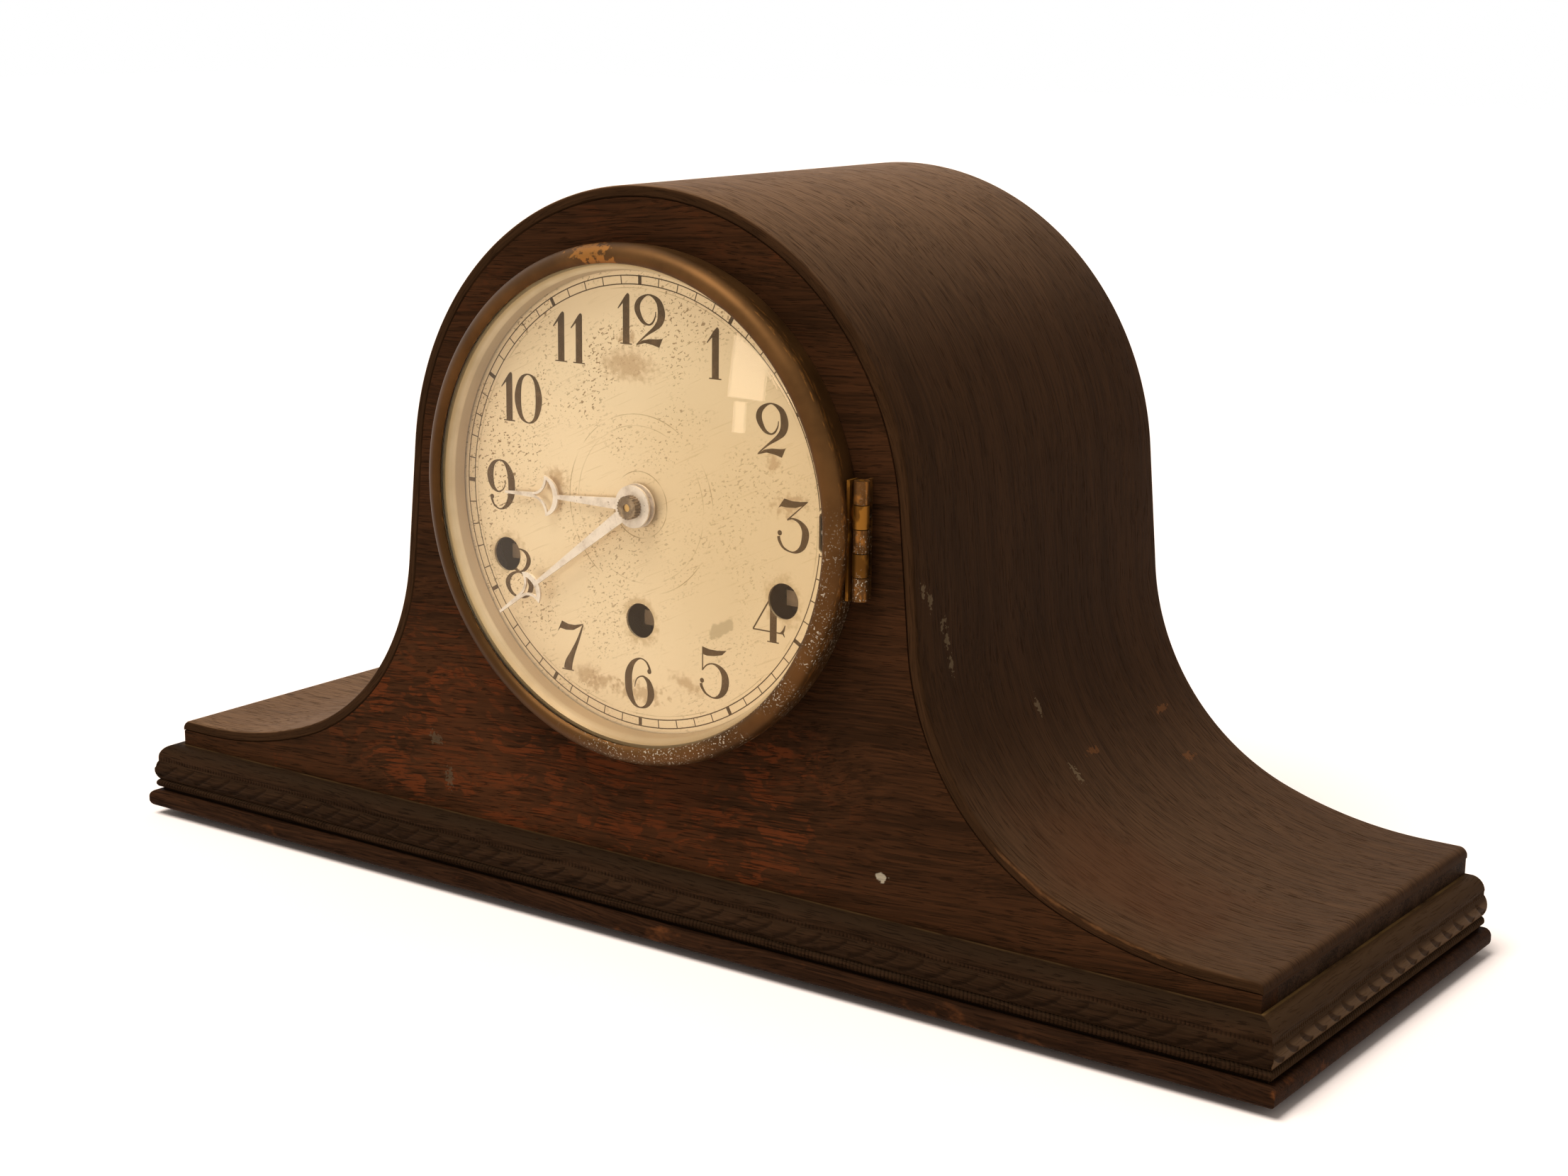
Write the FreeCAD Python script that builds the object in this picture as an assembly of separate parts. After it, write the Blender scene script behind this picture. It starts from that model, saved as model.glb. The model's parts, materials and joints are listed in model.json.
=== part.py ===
import FreeCAD, Part
import math
import os

# A three-train table clock in a hat-shaped oak case, in millimetres.
# +X is to the right of the dial, +Y runs from the dial to the back, +Z is up.
# The origin lies under the middle of the clock, on the surface that its feet stand on.

os.makedirs("parts", exist_ok=True)

# Gaps
running_gap = 0.05
fit_gap = 0.02
moving_gap = 0.3
endshake = 0.3

# Case, with heights above the underside of the base board
foot_height = 3.0
foot_radius = 5.5
foot_round = 1.2
foot_inset = 13.0
base_thickness = 6.0
base_overhang = 9.4
base_back_overhang = 1.0
base_edge_round = 2.4
case_depth = 144.0
panel_thickness = 10.0
back_thickness = 8.0
wrap_thickness = 3.6
wrap_end_round = 2.4
end_setback = 0.3
end_block_width = 12.0
dial_height = 135.4
crown_radius = 95.4
flank_lean = math.radians(5.3)
upper_sweep_radius = 77.3
lower_sweep_radius = 142.7
sweep_change = math.radians(250.3)
shoulder_height = 31.1
shoulder_flat = 12.3

# Plinth moulding, reaches from the case face and heights of its members from the bottom up
groove_reach = 5.7
groove_height = 1.0
bead_reach = 7.5
bead_height = 2.9
quirk_reach = 6.5
band_reach = 7.8
band_height = 6.7
fillet_reach = 6.7
fillet_height = 0.8
ovolo_top_reach = 2.6
ovolo_height = 5.0

# Rear door
door_half_width = 62.0
door_sill_height = 40.0
door_gap = 0.6
door_hinge_length = 24.0
door_hinge_low = 26.0
door_hinge_high = 78.0
door_leaf_width = 12.0
door_leaf_thickness = 1.0
door_knuckle_radius = 2.0
door_pin_radius = 0.8
button_half_length = 10.0
button_half_width = 2.6
button_thickness = 1.4
button_offset = 7.0
button_drop = 30.0
button_stud_radius = 1.5
button_stud_depth = 6.0
button_head_radius = 2.4
button_head_height = 1.0

# Dial
dial_radius = 74.0
dial_rise = 2.0
dial_sheet = 0.8
dial_aperture = 70.5
dial_centre_hole = 4.2
winding_hole = 5.4
slot_distance = 67.3
slot_half_width = 1.6
slot_half_length = 6.0
dial_screw_circle_radius = 72.2
dial_screw_radius = 0.7
dial_screw_head = 1.0
dial_screw_head_height = 0.7
dial_screw_depth = 6.0

# Bezel, radii and reaches in front of the front panel
bezel_radius = 78.7
bezel_bulge_reach = 7.0
bezel_back_taper = 0.9
bezel_waist_share = 0.33
bezel_shoulder_across = 0.78
bezel_shoulder_rise = 0.72
bezel_width = 5.7
bezel_lip_width = 2.6
bezel_lip_drop = 1.1
lip_crown_across = 0.35
lip_crown_drop = 0.14
bezel_height = 12.5
bezel_wall = 1.0
glass_seat_reach = 10.5
glass_seat_width = 0.5
glass_overlap = 0.7
glass_rim = 1.6
glass_thickness = 1.6
glass_sag = 7.5
sight_sheet = 0.5
sight_flange_reach = 6.1
sight_ridge_radius = 72.7
sight_skirt_radius = 70.4
sight_skirt_gap = 0.5
sight_riser_slope = 0.4
tab_radius = 11.0
tab_reach = 6.3
tab_thickness = 1.4
tab_lift = 1.2

# Bezel hinge
hinge_offset = 3.2
hinge_knuckle_radius = 2.3
hinge_pin_radius = 0.9
hinge_axis_reach = 4.9
hinge_length = 35.0
hinge_leaf_thickness = 1.0
hinge_leaf_depth = 8.0
hinge_knuckle_gap = 0.25
hinge_knuckles = 5

# Hands, with radii from the dial centre, and their rest angles clockwise from twelve
hour_angle = 267.9
hour_length = 52.4
hour_bow_back = 30.9
hour_cusp = 36.2
hour_cusp_half = 6.3
hour_vertex = 41.2
hour_hub = 6.7
minute_angle = 233.0
minute_length = 66.6
minute_bow_back = 47.2
minute_cusp = 50.8
minute_cusp_half = 5.6
minute_vertex = 55.6
minute_hub = 6.5
arm_root_half = 2.1
arm_neck_half = 0.6
bow_width = 1.9
cusp_web = 0.8
spear_half = 0.8
tip_half = 0.35
hand_thickness = 0.7
hour_hand_reach = 3.2
minute_hand_reach = 5.3
nut_radius = 3.6
nut_length = 2.7
thread_radius = 1.2
nut_flutes = 24
nut_flute_radius = 0.3

# Movement frame
lug_depth = 4.0
plate_thickness = 2.0
plate_gap = 40.0
plate_half_width = 72.0
plate_top_half = 40.0
plate_top = 58.0
plate_shoulder = 30.0
plate_bottom = -64.0
pillar_radius = 4.0
screw_head_radius = 3.0
screw_head_height = 1.5
screw_radius = 1.4
screw_depth = 7.0
lug_length = 18.0
lug_overlap = 10.0
lug_height = 8.0
lug_rivet_radius = 1.5
lug_screw_inset = 4.0
upper_lug = 24.0
lower_lug = -58.0
arbor_radius = 1.0
pivot_radius = 0.6

# Places of the arbors, from the dial centre
wind_side = 53.25
wind_side_drop = 22.2
wind_middle_drop = 35.9
second_at = (-17.0, -15.5)
third_at = (13.0, 17.75)
escape_at = (0.0, 32.95)
anchor_rise = 15.05
strike_at = (-45.0, 3.0)
strike_fly_at = (-47.9, 19.4)
drum_at = (45.0, 3.0)
chime_fly_at = (47.9, 19.4)
minute_wheel_at = (9.2, -9.2)
lever_stud_at = (50.0, 0.0)
hammers_at = (44.0, -56.0)
pillars_at = ((56.0, -57.0), (66.0, 12.0), (34.0, 50.0))

# Teeth
great_teeth = 72
second_leaves = 12
second_teeth = 72
centre_leaves = 12
centre_teeth = 96
third_leaves = 8
third_teeth = 88
escape_leaves = 8
escape_teeth = 40
cannon_leaves = 12
minute_teeth = 36
minute_leaves = 10
hour_teeth = 40
strike_teeth = 66
fly_leaves = 8
ratchet_teeth = 24
addendum = 0.75
dedendum = 1.05
tip_half_share = 0.10
root_half_share = 0.26

# Wheels and their depths behind the front plate's inner face
wheel_thickness = 1.5
pinion_margin = 0.5
front_wheel_depth = 1.2
barrel_depth = 4.0
barrel_length = 23.0
great_thickness = 3.0
barrel_drum_radius = 20.6
barrel_wall = 1.0
second_wheel_depth = 33.0
third_wheel_depth = 14.0
escape_wheel_depth = 22.0
escape_radius = 11.0
escape_tooth_depth = 2.0
saw_face_share = 0.2
crossing_holes = 5
crossing_share = 0.58
crossing_size_share = 0.2
centre_arbor_radius = 1.6
winding_arbor_radius = 3.6
winding_pivot_radius = 2.0
winding_square = 4.6
winding_tip_depth = 3.0
ratchet_radius = 9.0
ratchet_tooth_depth = 1.2
ratchet_thickness = 2.0
ratchet_gap = 0.5
fly_half_width = 8.5
fly_start = 8.0
fly_end = 24.0
fly_thickness = 0.8

# Motion work, depths behind the front panel's face
cannon_radius = 2.5
hour_pipe_wall = 0.8
hour_wheel_depth = 5.6
minute_wheel_depth = 9.0
minute_stud_radius = 1.5
stud_end_gap = 0.4

# Escapement and pendulum
anchor_clearance = 1.0
anchor_width = 3.0
anchor_half_spread = math.radians(50.0)
anchor_hub_radius = 3.0
anchor_arbor_radius = 1.5
crutch_gap = 2.0
crutch_thickness = 2.0
crutch_half_width = 1.5
crutch_length = 26.0
crutch_fork_gap = 0.4
crutch_fork_width = 1.6
crutch_fork_height = 3.0
pendulum_depth = 7.0
pendulum_length = 115.0
pendulum_rod_radius = 1.2
pendulum_eye_radius = 3.0
pendulum_eye_width = 2.6
bob_radius = 16.0
bob_thickness = 9.0
bob_round = 3.0
rating_nut_radius = 4.0
rating_nut_height = 3.0
rod_tail = 3.5
cock_pin_radius = 1.0
cock_half_width = 5.0
cock_rise = 4.0
cock_height = 6.0
cock_arm_half_width = 3.0
cock_arm_thickness = 1.5
cock_arm_gap = 0.4

# Chiming and sound
tune_count = 4
tune_depth = 16.0
tune_spacing = 8.0
drum_radius = 8.5
drum_end = 4.0
drum_pin_radius = 0.6
drum_pin_length = 1.1
drum_pins = 5
hammer_arbor_radius = 2.0
hammer_hub_radius = 4.0
hammer_width = 5.0
hammer_arm_half = 1.5
hammer_arm_length = 56.0
hammer_arm_lean = math.radians(60.0)
hammer_head_radius = 3.4
hammer_head_length = 9.0
hammer_tail_gap = 0.9
rod_radius = 1.5
rod_strike_gap = 0.8
rod_length = 205.0
rod_socket = 10.0
block_width = 18.0
block_margin = 8.0
block_clear = 8.0
block_above_rods = 6.0
lever_depth = 9.0
lever_thickness = 1.5
lever_half_width = 2.0
lever_hub_radius = 4.0
lever_pin_radius = 1.0
lever_stud_radius = 1.5
lever_tip_drop = 0.3

# Places worked out from the sizes above
BACK = FreeCAD.Vector(0, 1, 0)
UP = FreeCAD.Vector(0, 0, 1)
base_top = foot_height + base_thickness
dial_z = foot_height + dial_height
shoulder_z = foot_height + shoulder_height
glass_reach = glass_seat_reach + glass_sag
door_hinge_reach = moving_gap + 2 * door_knuckle_radius
overall_depth = glass_reach + case_depth + door_hinge_reach
front_y = glass_reach - overall_depth / 2
back_y = front_y + case_depth

lean_out = (math.cos(flank_lean), math.sin(flank_lean))
change_out = (math.cos(sweep_change), math.sin(sweep_change))
upper_sweep_x = (crown_radius + upper_sweep_radius) * lean_out[0]
upper_sweep_z = (shoulder_z - change_out[1] * upper_sweep_radius
                 + (1 + change_out[1]) * lower_sweep_radius)
flank_length = (dial_z + (crown_radius + upper_sweep_radius) * lean_out[1] - upper_sweep_z) / lean_out[0]
upper_sweep_x += flank_length * lean_out[1]
lower_sweep_x = upper_sweep_x - (lower_sweep_radius - upper_sweep_radius) * change_out[0]
lower_sweep_z = upper_sweep_z - (lower_sweep_radius - upper_sweep_radius) * change_out[1]
half_width = lower_sweep_x + shoulder_flat
end_x = half_width - end_setback

plate_front = front_y + panel_thickness + lug_depth
inside_front = plate_front + plate_thickness
inside_back = inside_front + plate_gap
plate_back = inside_back + plate_thickness


def spot(x, y, z):
    return FreeCAD.Vector(x, y, z)


def behind(depth):
    """Y of a depth behind the front panel's face."""
    return front_y + depth


def ahead(reach):
    """Y of a reach in front of the front panel's face."""
    return front_y - reach


def inside(depth):
    """Y of a depth behind the front plate's inner face."""
    return inside_front + depth


def from_dial(place):
    """Point (x, z) of a place given from the dial centre."""
    return (place[0], dial_z + place[1])


def polar(centre, radius, angle):
    return (centre[0] + radius * math.cos(angle), centre[1] + radius * math.sin(angle))


def shaft(radius, place, start, end):
    """Round bar along Y at the point (x, z)."""
    return Part.makeCylinder(radius, end - start, spot(place[0], start, place[1]), BACK)


def post(radius, x, y, low, high):
    """Round bar along Z."""
    return Part.makeCylinder(radius, high - low, spot(x, y, low), UP)


def block(x, y, z):
    """Box between pairs of low and high values."""
    return Part.makeBox(x[1] - x[0], y[1] - y[0], z[1] - z[0], spot(x[0], y[0], z[0]))


def outline(place, start, *moves):
    """Closed wire from a start point; a move is an end point, or a pair (via, end) for an arc."""
    edges = []
    here = start
    for move in moves:
        if isinstance(move[0], tuple):
            via, end = move
            edges.append(Part.Arc(place(*here), place(*via), place(*end)).toShape())
        else:
            end = move
            edges.append(Part.LineSegment(place(*here), place(*end)).toShape())
        here = end
    if math.dist(here, start) > 1e-6:
        edges.append(Part.LineSegment(place(*here), place(*start)).toShape())
    return Part.Wire(edges)


def sheet(start, end, *points):
    """Flat plate with its outline given as for outline, in (x, z), from one Y to another."""
    wire = outline(lambda x, z: spot(x, start, z), *points)
    return Part.Face(wire).extrude(spot(0, end - start, 0))


def polygon(points, start, end):
    """Flat plate with straight edges."""
    return sheet(start, end, points[0], *points[1:])


def turned(centre, *points):
    """Solid of revolution about the Y line through centre, from an outline in (radius, y)."""
    wire = outline(lambda radius, y: spot(centre[0] + radius, y, centre[1]), *points)
    return Part.Face(wire).revolve(spot(centre[0], 0, centre[1]), BACK, 360)


def bar(a, b, half, start, end):
    """Flat bar between two (x, z) points."""
    along = math.atan2(b[1] - a[1], b[0] - a[0])
    side = along + math.pi / 2
    corners = [polar(a, half, side), polar(b, half, side), polar(b, -half, side), polar(a, -half, side)]
    return polygon(corners, start, end)


def joined(first, *others):
    return first.multiFuse(list(others)).removeSplitter()


def save(name, *solids):
    shape = solids[0] if len(solids) == 1 else Part.makeCompound(list(solids))
    shape.exportStep(os.path.join("parts", name + ".step"))


dial_centre = (0.0, dial_z)
going_place = from_dial((0.0, -wind_middle_drop))
strike_place = from_dial((-wind_side, -wind_side_drop))
chime_place = from_dial((wind_side, -wind_side_drop))
winding_places = (going_place, strike_place, chime_place)
pillar_places = [from_dial((side * x, z)) for x, z in pillars_at for side in (-1, 1)]
lug_places = [(side, dial_z + z) for z in (upper_lug, lower_lug) for side in (-1, 1)]
lug_screw_x = plate_half_width - lug_overlap + lug_length - lug_screw_inset
lug_rivet_x = plate_half_width - lug_overlap / 2

# Base board and feet

base_x = end_x + base_overhang
base_front = ahead(base_overhang)
base_back = back_y + base_back_overhang
board = block((-base_x, base_x), (base_front, base_back), (foot_height, base_top))
rounded = [edge for edge in board.Edges
           if abs(edge.CenterOfMass.y - base_back) > base_edge_round
           and abs(edge.CenterOfMass.z - (foot_height + base_top) / 2) > base_thickness / 4]
board = board.makeFillet(base_edge_round, rounded)
save("base_board", board)

feet = []
for x in (-base_x + foot_inset, base_x - foot_inset):
    for y in (base_front + foot_inset, base_back - foot_inset):
        foot = post(foot_radius, x, y, 0, foot_height)
        foot = foot.makeFillet(foot_round, [e for e in foot.Edges if abs(e.CenterOfMass.z) < foot_round / 2])
        feet.append(foot)
save("base_feet", *feet)

# Plinth moulding, mitred at the front corners

bead_base = base_top + groove_height
band_base = bead_base + bead_height
fillet_base = band_base + band_height
ovolo_base = fillet_base + fillet_height
moulding_top = ovolo_base + ovolo_height
moulding_width = base_overhang
ovolo_reach = fillet_reach - ovolo_top_reach
ovolo_middle = (ovolo_top_reach + ovolo_reach * math.cos(math.pi / 4),
                ovolo_base + ovolo_height * math.sin(math.pi / 4))
moulding_points = (
    (0.0, base_top),
    (groove_reach, base_top),
    (groove_reach, bead_base),
    ((bead_reach, bead_base + bead_height / 2), (quirk_reach, band_base)),
    ((band_reach, band_base + band_height / 2), (fillet_reach, fillet_base)),
    (fillet_reach, ovolo_base),
    (ovolo_middle, (ovolo_top_reach, moulding_top)),
    (0.0, moulding_top),
)


def plan(points):
    """Upright prism over a plan outline, as tall as the moulding."""
    wire = outline(lambda x, y: spot(x, y, base_top), *points)
    return Part.Face(wire).extrude(spot(0, 0, moulding_top - base_top))


front_run = outline(lambda reach, z: spot(-base_x, ahead(reach), z), *moulding_points)
front_run = Part.Face(front_run).extrude(spot(2 * base_x, 0, 0))
mitre_front = plan(((-end_x, front_y), (-end_x - moulding_width, front_y - moulding_width),
                    (end_x + moulding_width, front_y - moulding_width), (end_x, front_y)))
save("plinth_moulding_front", front_run.common(mitre_front))

for name, side in (("plinth_moulding_left", -1), ("plinth_moulding_right", 1)):
    run = outline(lambda reach, z: spot(side * (end_x + reach), ahead(moulding_width), z), *moulding_points)
    run = Part.Face(run).extrude(spot(0, case_depth + moulding_width, 0))
    mitre_side = plan(((side * end_x, front_y), (side * (end_x + moulding_width), front_y - moulding_width),
                       (side * (end_x + moulding_width), back_y), (side * end_x, back_y)))
    save(name, run.common(mitre_side))

# Bent wrap and the panels that it closes


def hat_edges(inset, end, y):
    """Upper outline of the case from the right end to the left end, moved inwards by inset."""
    upper = (upper_sweep_x, upper_sweep_z)
    lower = (lower_sweep_x, lower_sweep_z)
    low = shoulder_z - inset
    flank_turn = math.pi + flank_lean
    crown_side = polar(dial_centre, crown_radius - inset, flank_lean)
    half = [
        [(end, low), (lower_sweep_x, low)],
        [(lower_sweep_x, low), polar(lower, lower_sweep_radius + inset, (1.5 * math.pi + sweep_change) / 2),
         polar(lower, lower_sweep_radius + inset, sweep_change)],
        [polar(upper, upper_sweep_radius + inset, sweep_change),
         polar(upper, upper_sweep_radius + inset, (sweep_change + flank_turn) / 2),
         polar(upper, upper_sweep_radius + inset, flank_turn)],
        [polar(upper, upper_sweep_radius + inset, flank_turn), crown_side],
    ]
    crown = [crown_side, (0.0, dial_z + crown_radius - inset), (-crown_side[0], crown_side[1])]
    mirrored = [[(-x, z) for x, z in run] for run in half]
    edges = []
    for run in half + [crown] + mirrored:
        points = [spot(x, y, z) for x, z in run]
        curve = Part.LineSegment(*points) if len(points) == 2 else Part.Arc(*points)
        edges.append(curve.toShape())
    return edges


def line(a, b):
    return Part.LineSegment(a, b).toShape()


def case_face(y):
    """Face of a front or back panel, inside the wrap and down to the base board."""
    top = shoulder_z - wrap_thickness
    edges = hat_edges(wrap_thickness, end_x, y)
    edges.append(line(spot(end_x, y, top), spot(end_x, y, base_top)))
    edges.append(line(spot(end_x, y, base_top), spot(-end_x, y, base_top)))
    edges.append(line(spot(-end_x, y, base_top), spot(-end_x, y, top)))
    return Part.Face(Part.Wire(Part.__sortEdges__(edges)))


wrap_edges = hat_edges(0.0, half_width, front_y) + hat_edges(wrap_thickness, half_width, front_y)
for side in (-1, 1):
    x = side * half_width
    wrap_edges.append(line(spot(x, front_y, shoulder_z), spot(x, front_y, shoulder_z - wrap_thickness)))
wrap = Part.Face(Part.Wire(Part.__sortEdges__(wrap_edges))).extrude(spot(0, case_depth, 0))
wrap_nose = [edge for edge in wrap.Edges
             if abs(abs(edge.CenterOfMass.x) - half_width) < fit_gap
             and abs(edge.CenterOfMass.z - shoulder_z) < fit_gap]
wrap = wrap.makeFillet(wrap_end_round, wrap_nose)
save("case_wrap", wrap)

hinge_x = bezel_radius + hinge_offset
hinge_low = dial_z - hinge_length / 2
hinge_step = hinge_length / hinge_knuckles
leaf_slot = block((hinge_x - hinge_leaf_thickness / 2, hinge_x + hinge_leaf_thickness / 2),
                  (front_y, behind(hinge_leaf_depth)), (hinge_low, hinge_low + hinge_length))
dial_screw_places = [polar(dial_centre, dial_screw_circle_radius, math.pi / 4 + k * math.pi / 2)
                     for k in range(4)]

front_panel = case_face(front_y).extrude(spot(0, panel_thickness, 0))
front_panel = front_panel.cut(shaft(dial_aperture, dial_centre, front_y, behind(panel_thickness)))
front_panel = front_panel.cut(leaf_slot)
for place in dial_screw_places:
    pilot = shaft(dial_screw_radius + fit_gap, place, front_y, behind(dial_screw_depth))
    front_panel = front_panel.cut(pilot)
for side, z in lug_places:
    pilot = shaft(screw_radius + fit_gap, (side * lug_screw_x, z), plate_front - screw_depth,
                  behind(panel_thickness))
    front_panel = front_panel.cut(pilot)
save("front_panel", front_panel)

door_sill = foot_height + door_sill_height
button_place = (door_half_width + button_offset, dial_z - button_drop)


def door_outline(inset, start, end):
    """Door or opening with an arched top round the dial centre's height."""
    half = door_half_width - inset
    return sheet(start, end, (-half, door_sill + inset), (half, door_sill + inset), (half, dial_z),
                 ((0.0, dial_z + half), (-half, dial_z)))


panel_back = back_y - back_thickness
back_panel = case_face(panel_back).extrude(spot(0, back_thickness, 0))
back_panel = back_panel.cut(door_outline(0.0, panel_back, back_y))
back_panel = back_panel.cut(shaft(button_stud_radius + running_gap, button_place,
                                  back_y - button_stud_depth - endshake, back_y))
save("back_panel", back_panel)

end_blocks = []
for low_x in (-end_x, end_x - end_block_width):
    end_blocks.append(block((low_x, low_x + end_block_width), (behind(panel_thickness), panel_back),
                            (base_top, shoulder_z - wrap_thickness)))
save("shoulder_blocks", *end_blocks)

# Rear door, its hinges and the turn button

door = door_outline(door_gap, panel_back, back_y)
save("rear_door", door)

door_axis_x = -door_half_width + door_gap / 2
door_axis_y = back_y + moving_gap + door_knuckle_radius
door_hinge_places = (door_sill + door_hinge_low, door_sill + door_hinge_high)
door_knuckle = door_hinge_length / 3
leaf_edge = door_knuckle_radius + moving_gap


def door_leaf(side, low, knuckles):
    """Leaf on one side of the door hinge axis, with the knuckles that belong to it."""
    near = door_axis_x + side * leaf_edge
    far = near + side * door_leaf_width
    leaf = block(sorted((near, far)), (back_y, back_y + door_leaf_thickness), (low, low + door_hinge_length))
    for k in knuckles:
        bottom = low + k * door_knuckle + moving_gap / 2
        top = low + (k + 1) * door_knuckle - moving_gap / 2
        tongue = block(sorted((door_axis_x, near)), (back_y, back_y + door_leaf_thickness), (bottom, top))
        leaf = leaf.fuse(tongue).fuse(post(door_knuckle_radius, door_axis_x, door_axis_y, bottom, top))
    bore = post(door_pin_radius + running_gap, door_axis_x, door_axis_y, low, low + door_hinge_length)
    return leaf.cut(bore).removeSplitter()


save("door_frame_leaves", *[door_leaf(-1, low, (0, 2)) for low in door_hinge_places])
save("door_leaves", *[door_leaf(1, low, (1,)) for low in door_hinge_places])
save("door_hinge_pins", *[post(door_pin_radius, door_axis_x, door_axis_y, low, low + door_hinge_length)
                          for low in door_hinge_places])

button_start = back_y + moving_gap
button_end = button_start + button_thickness
button = joined(
    block((button_place[0] - button_half_width, button_place[0] + button_half_width),
          (button_start, button_end),
          (button_place[1] - button_half_length, button_place[1] + button_half_length)),
    shaft(button_head_radius, button_place, button_end, button_end + button_head_height),
    shaft(button_stud_radius, button_place, back_y - button_stud_depth, button_end),
)
save("door_turn_button", button)

# Dial and its screws

dial_face = ahead(dial_rise)
dial = shaft(dial_radius, dial_centre, dial_face, front_y)
dial = dial.cut(shaft(dial_radius - dial_sheet, dial_centre, dial_face + dial_sheet, front_y))
dial = dial.cut(shaft(dial_centre_hole, dial_centre, dial_face, front_y))
for place in winding_places:
    dial = dial.cut(shaft(winding_hole, place, dial_face, front_y))
slot_straight = slot_half_length - slot_half_width
slot_near = slot_distance - slot_half_width
slot_far = slot_distance + slot_half_width
slot = sheet(dial_face, front_y,
             (slot_near, dial_z - slot_straight),
             ((slot_distance, dial_z - slot_half_length), (slot_far, dial_z - slot_straight)),
             (slot_far, dial_z + slot_straight),
             ((slot_distance, dial_z + slot_half_length), (slot_near, dial_z + slot_straight)))
dial = dial.cut(slot)
for place in dial_screw_places:
    dial = dial.cut(shaft(dial_screw_radius + fit_gap, place, dial_face, front_y))
save("dial_plate", dial)

dial_screws = []
for place in dial_screw_places:
    dial_screws.append(joined(shaft(dial_screw_head, place, dial_face - dial_screw_head_height, dial_face),
                              shaft(dial_screw_radius, place, dial_face, behind(dial_screw_depth))))
save("dial_screws", *dial_screws)

# Bezel ring, spun from sheet brass and hollow behind

lip_radius = bezel_radius - bezel_width
crown_lip = lip_radius + bezel_lip_width
back_radius = bezel_radius - bezel_back_taper
inner_radius = back_radius - bezel_wall
seat_radius = lip_radius + glass_seat_width
bezel_back = ahead(moving_gap)


def shoulder_point(radius, height):
    """Point on the round shoulder between the ring's bulge and its lip."""
    across = crown_lip + (radius - crown_lip) * bezel_shoulder_across
    reach = bezel_bulge_reach + (height - bezel_bulge_reach) * bezel_shoulder_rise
    return (across, ahead(reach))


bezel_outer = (
    (back_radius, bezel_back),
    ((bezel_radius - bezel_back_taper * bezel_waist_share, ahead(bezel_bulge_reach / 2)),
     (bezel_radius, ahead(bezel_bulge_reach))),
    (shoulder_point(bezel_radius, bezel_height), (crown_lip, ahead(bezel_height))),
)
lip_crown = (lip_radius + bezel_lip_width * lip_crown_across,
             ahead(bezel_height - bezel_lip_drop * lip_crown_drop))
bezel = turned(
    dial_centre, *bezel_outer,
    (lip_crown, (lip_radius, ahead(bezel_height - bezel_lip_drop))),
    (seat_radius, ahead(glass_seat_reach)),
    (seat_radius + bezel_wall, ahead(glass_seat_reach)),
    (lip_radius + bezel_wall, ahead(bezel_height - bezel_lip_drop - bezel_wall / 2)),
    (crown_lip, ahead(bezel_height - bezel_wall)),
    (shoulder_point(inner_radius, bezel_height - bezel_wall), (inner_radius, ahead(bezel_bulge_reach))),
    (inner_radius, bezel_back),
)
save("bezel_ring", bezel)
bezel_body = turned(dial_centre, *bezel_outer, (0.0, ahead(bezel_height)), (0.0, bezel_back))

# Convex glass and the sight ring that holds it in the bezel

glass_radius = seat_radius + glass_overlap
dome_radius = glass_radius - glass_rim
glass_back = glass_seat_reach - glass_thickness


def dome_rise(radius):
    """Rise of the glass's arc above its rim at a radius."""
    sphere = (dome_radius ** 2 + glass_sag ** 2) / (2 * glass_sag)
    return math.sqrt(sphere ** 2 - radius ** 2) - (sphere - glass_sag)


glass = turned(
    dial_centre, (0.0, ahead(glass_back + glass_sag)),
    ((dome_radius / 2, ahead(glass_back + dome_rise(dome_radius / 2))), (dome_radius, ahead(glass_back))),
    (glass_radius, ahead(glass_back)), (glass_radius, ahead(glass_seat_reach)),
    (dome_radius, ahead(glass_seat_reach)),
    ((dome_radius / 2, ahead(glass_seat_reach + dome_rise(dome_radius / 2))), (0.0, ahead(glass_reach))),
)
save("glass", glass)

sight_back = glass_back - sight_sheet
sight_flange_top = sight_flange_reach + sight_sheet
skirt_end = dial_rise + sight_skirt_gap
sight_radius = inner_radius - fit_gap
riser_top = glass_radius - sight_riser_slope
sight = turned(
    dial_centre, (sight_radius, ahead(sight_flange_top)),
    (glass_radius, ahead(sight_flange_top)),
    (riser_top, ahead(glass_back)),
    (sight_ridge_radius, ahead(glass_back)),
    (sight_skirt_radius, ahead(skirt_end)),
    (sight_skirt_radius + sight_sheet, ahead(skirt_end)),
    ((sight_ridge_radius + riser_top) / 2, ahead(sight_back)),
    (glass_radius - sight_sheet, ahead(sight_flange_reach)),
    (sight_radius, ahead(sight_flange_reach)),
)
save("sight_ring", sight)

# Pull tab at nine o'clock

tab_centre = (-bezel_radius - tab_reach + tab_radius, dial_z)
tab = shaft(tab_radius, tab_centre, ahead(tab_lift + tab_thickness), ahead(tab_lift)).cut(bezel_body)
save("bezel_tab", tab)

# Bezel hinge at three o'clock, knuckles turn about between the case and the bezel

hinge_y = ahead(hinge_axis_reach)
hinge_bore = post(hinge_pin_radius + running_gap, hinge_x, hinge_y, hinge_low, hinge_low + hinge_length)


def hinge_knuckle(k):
    low = hinge_low + k * hinge_step + hinge_knuckle_gap / 2
    return post(hinge_knuckle_radius, hinge_x, hinge_y, low, low + hinge_step - hinge_knuckle_gap)


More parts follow.
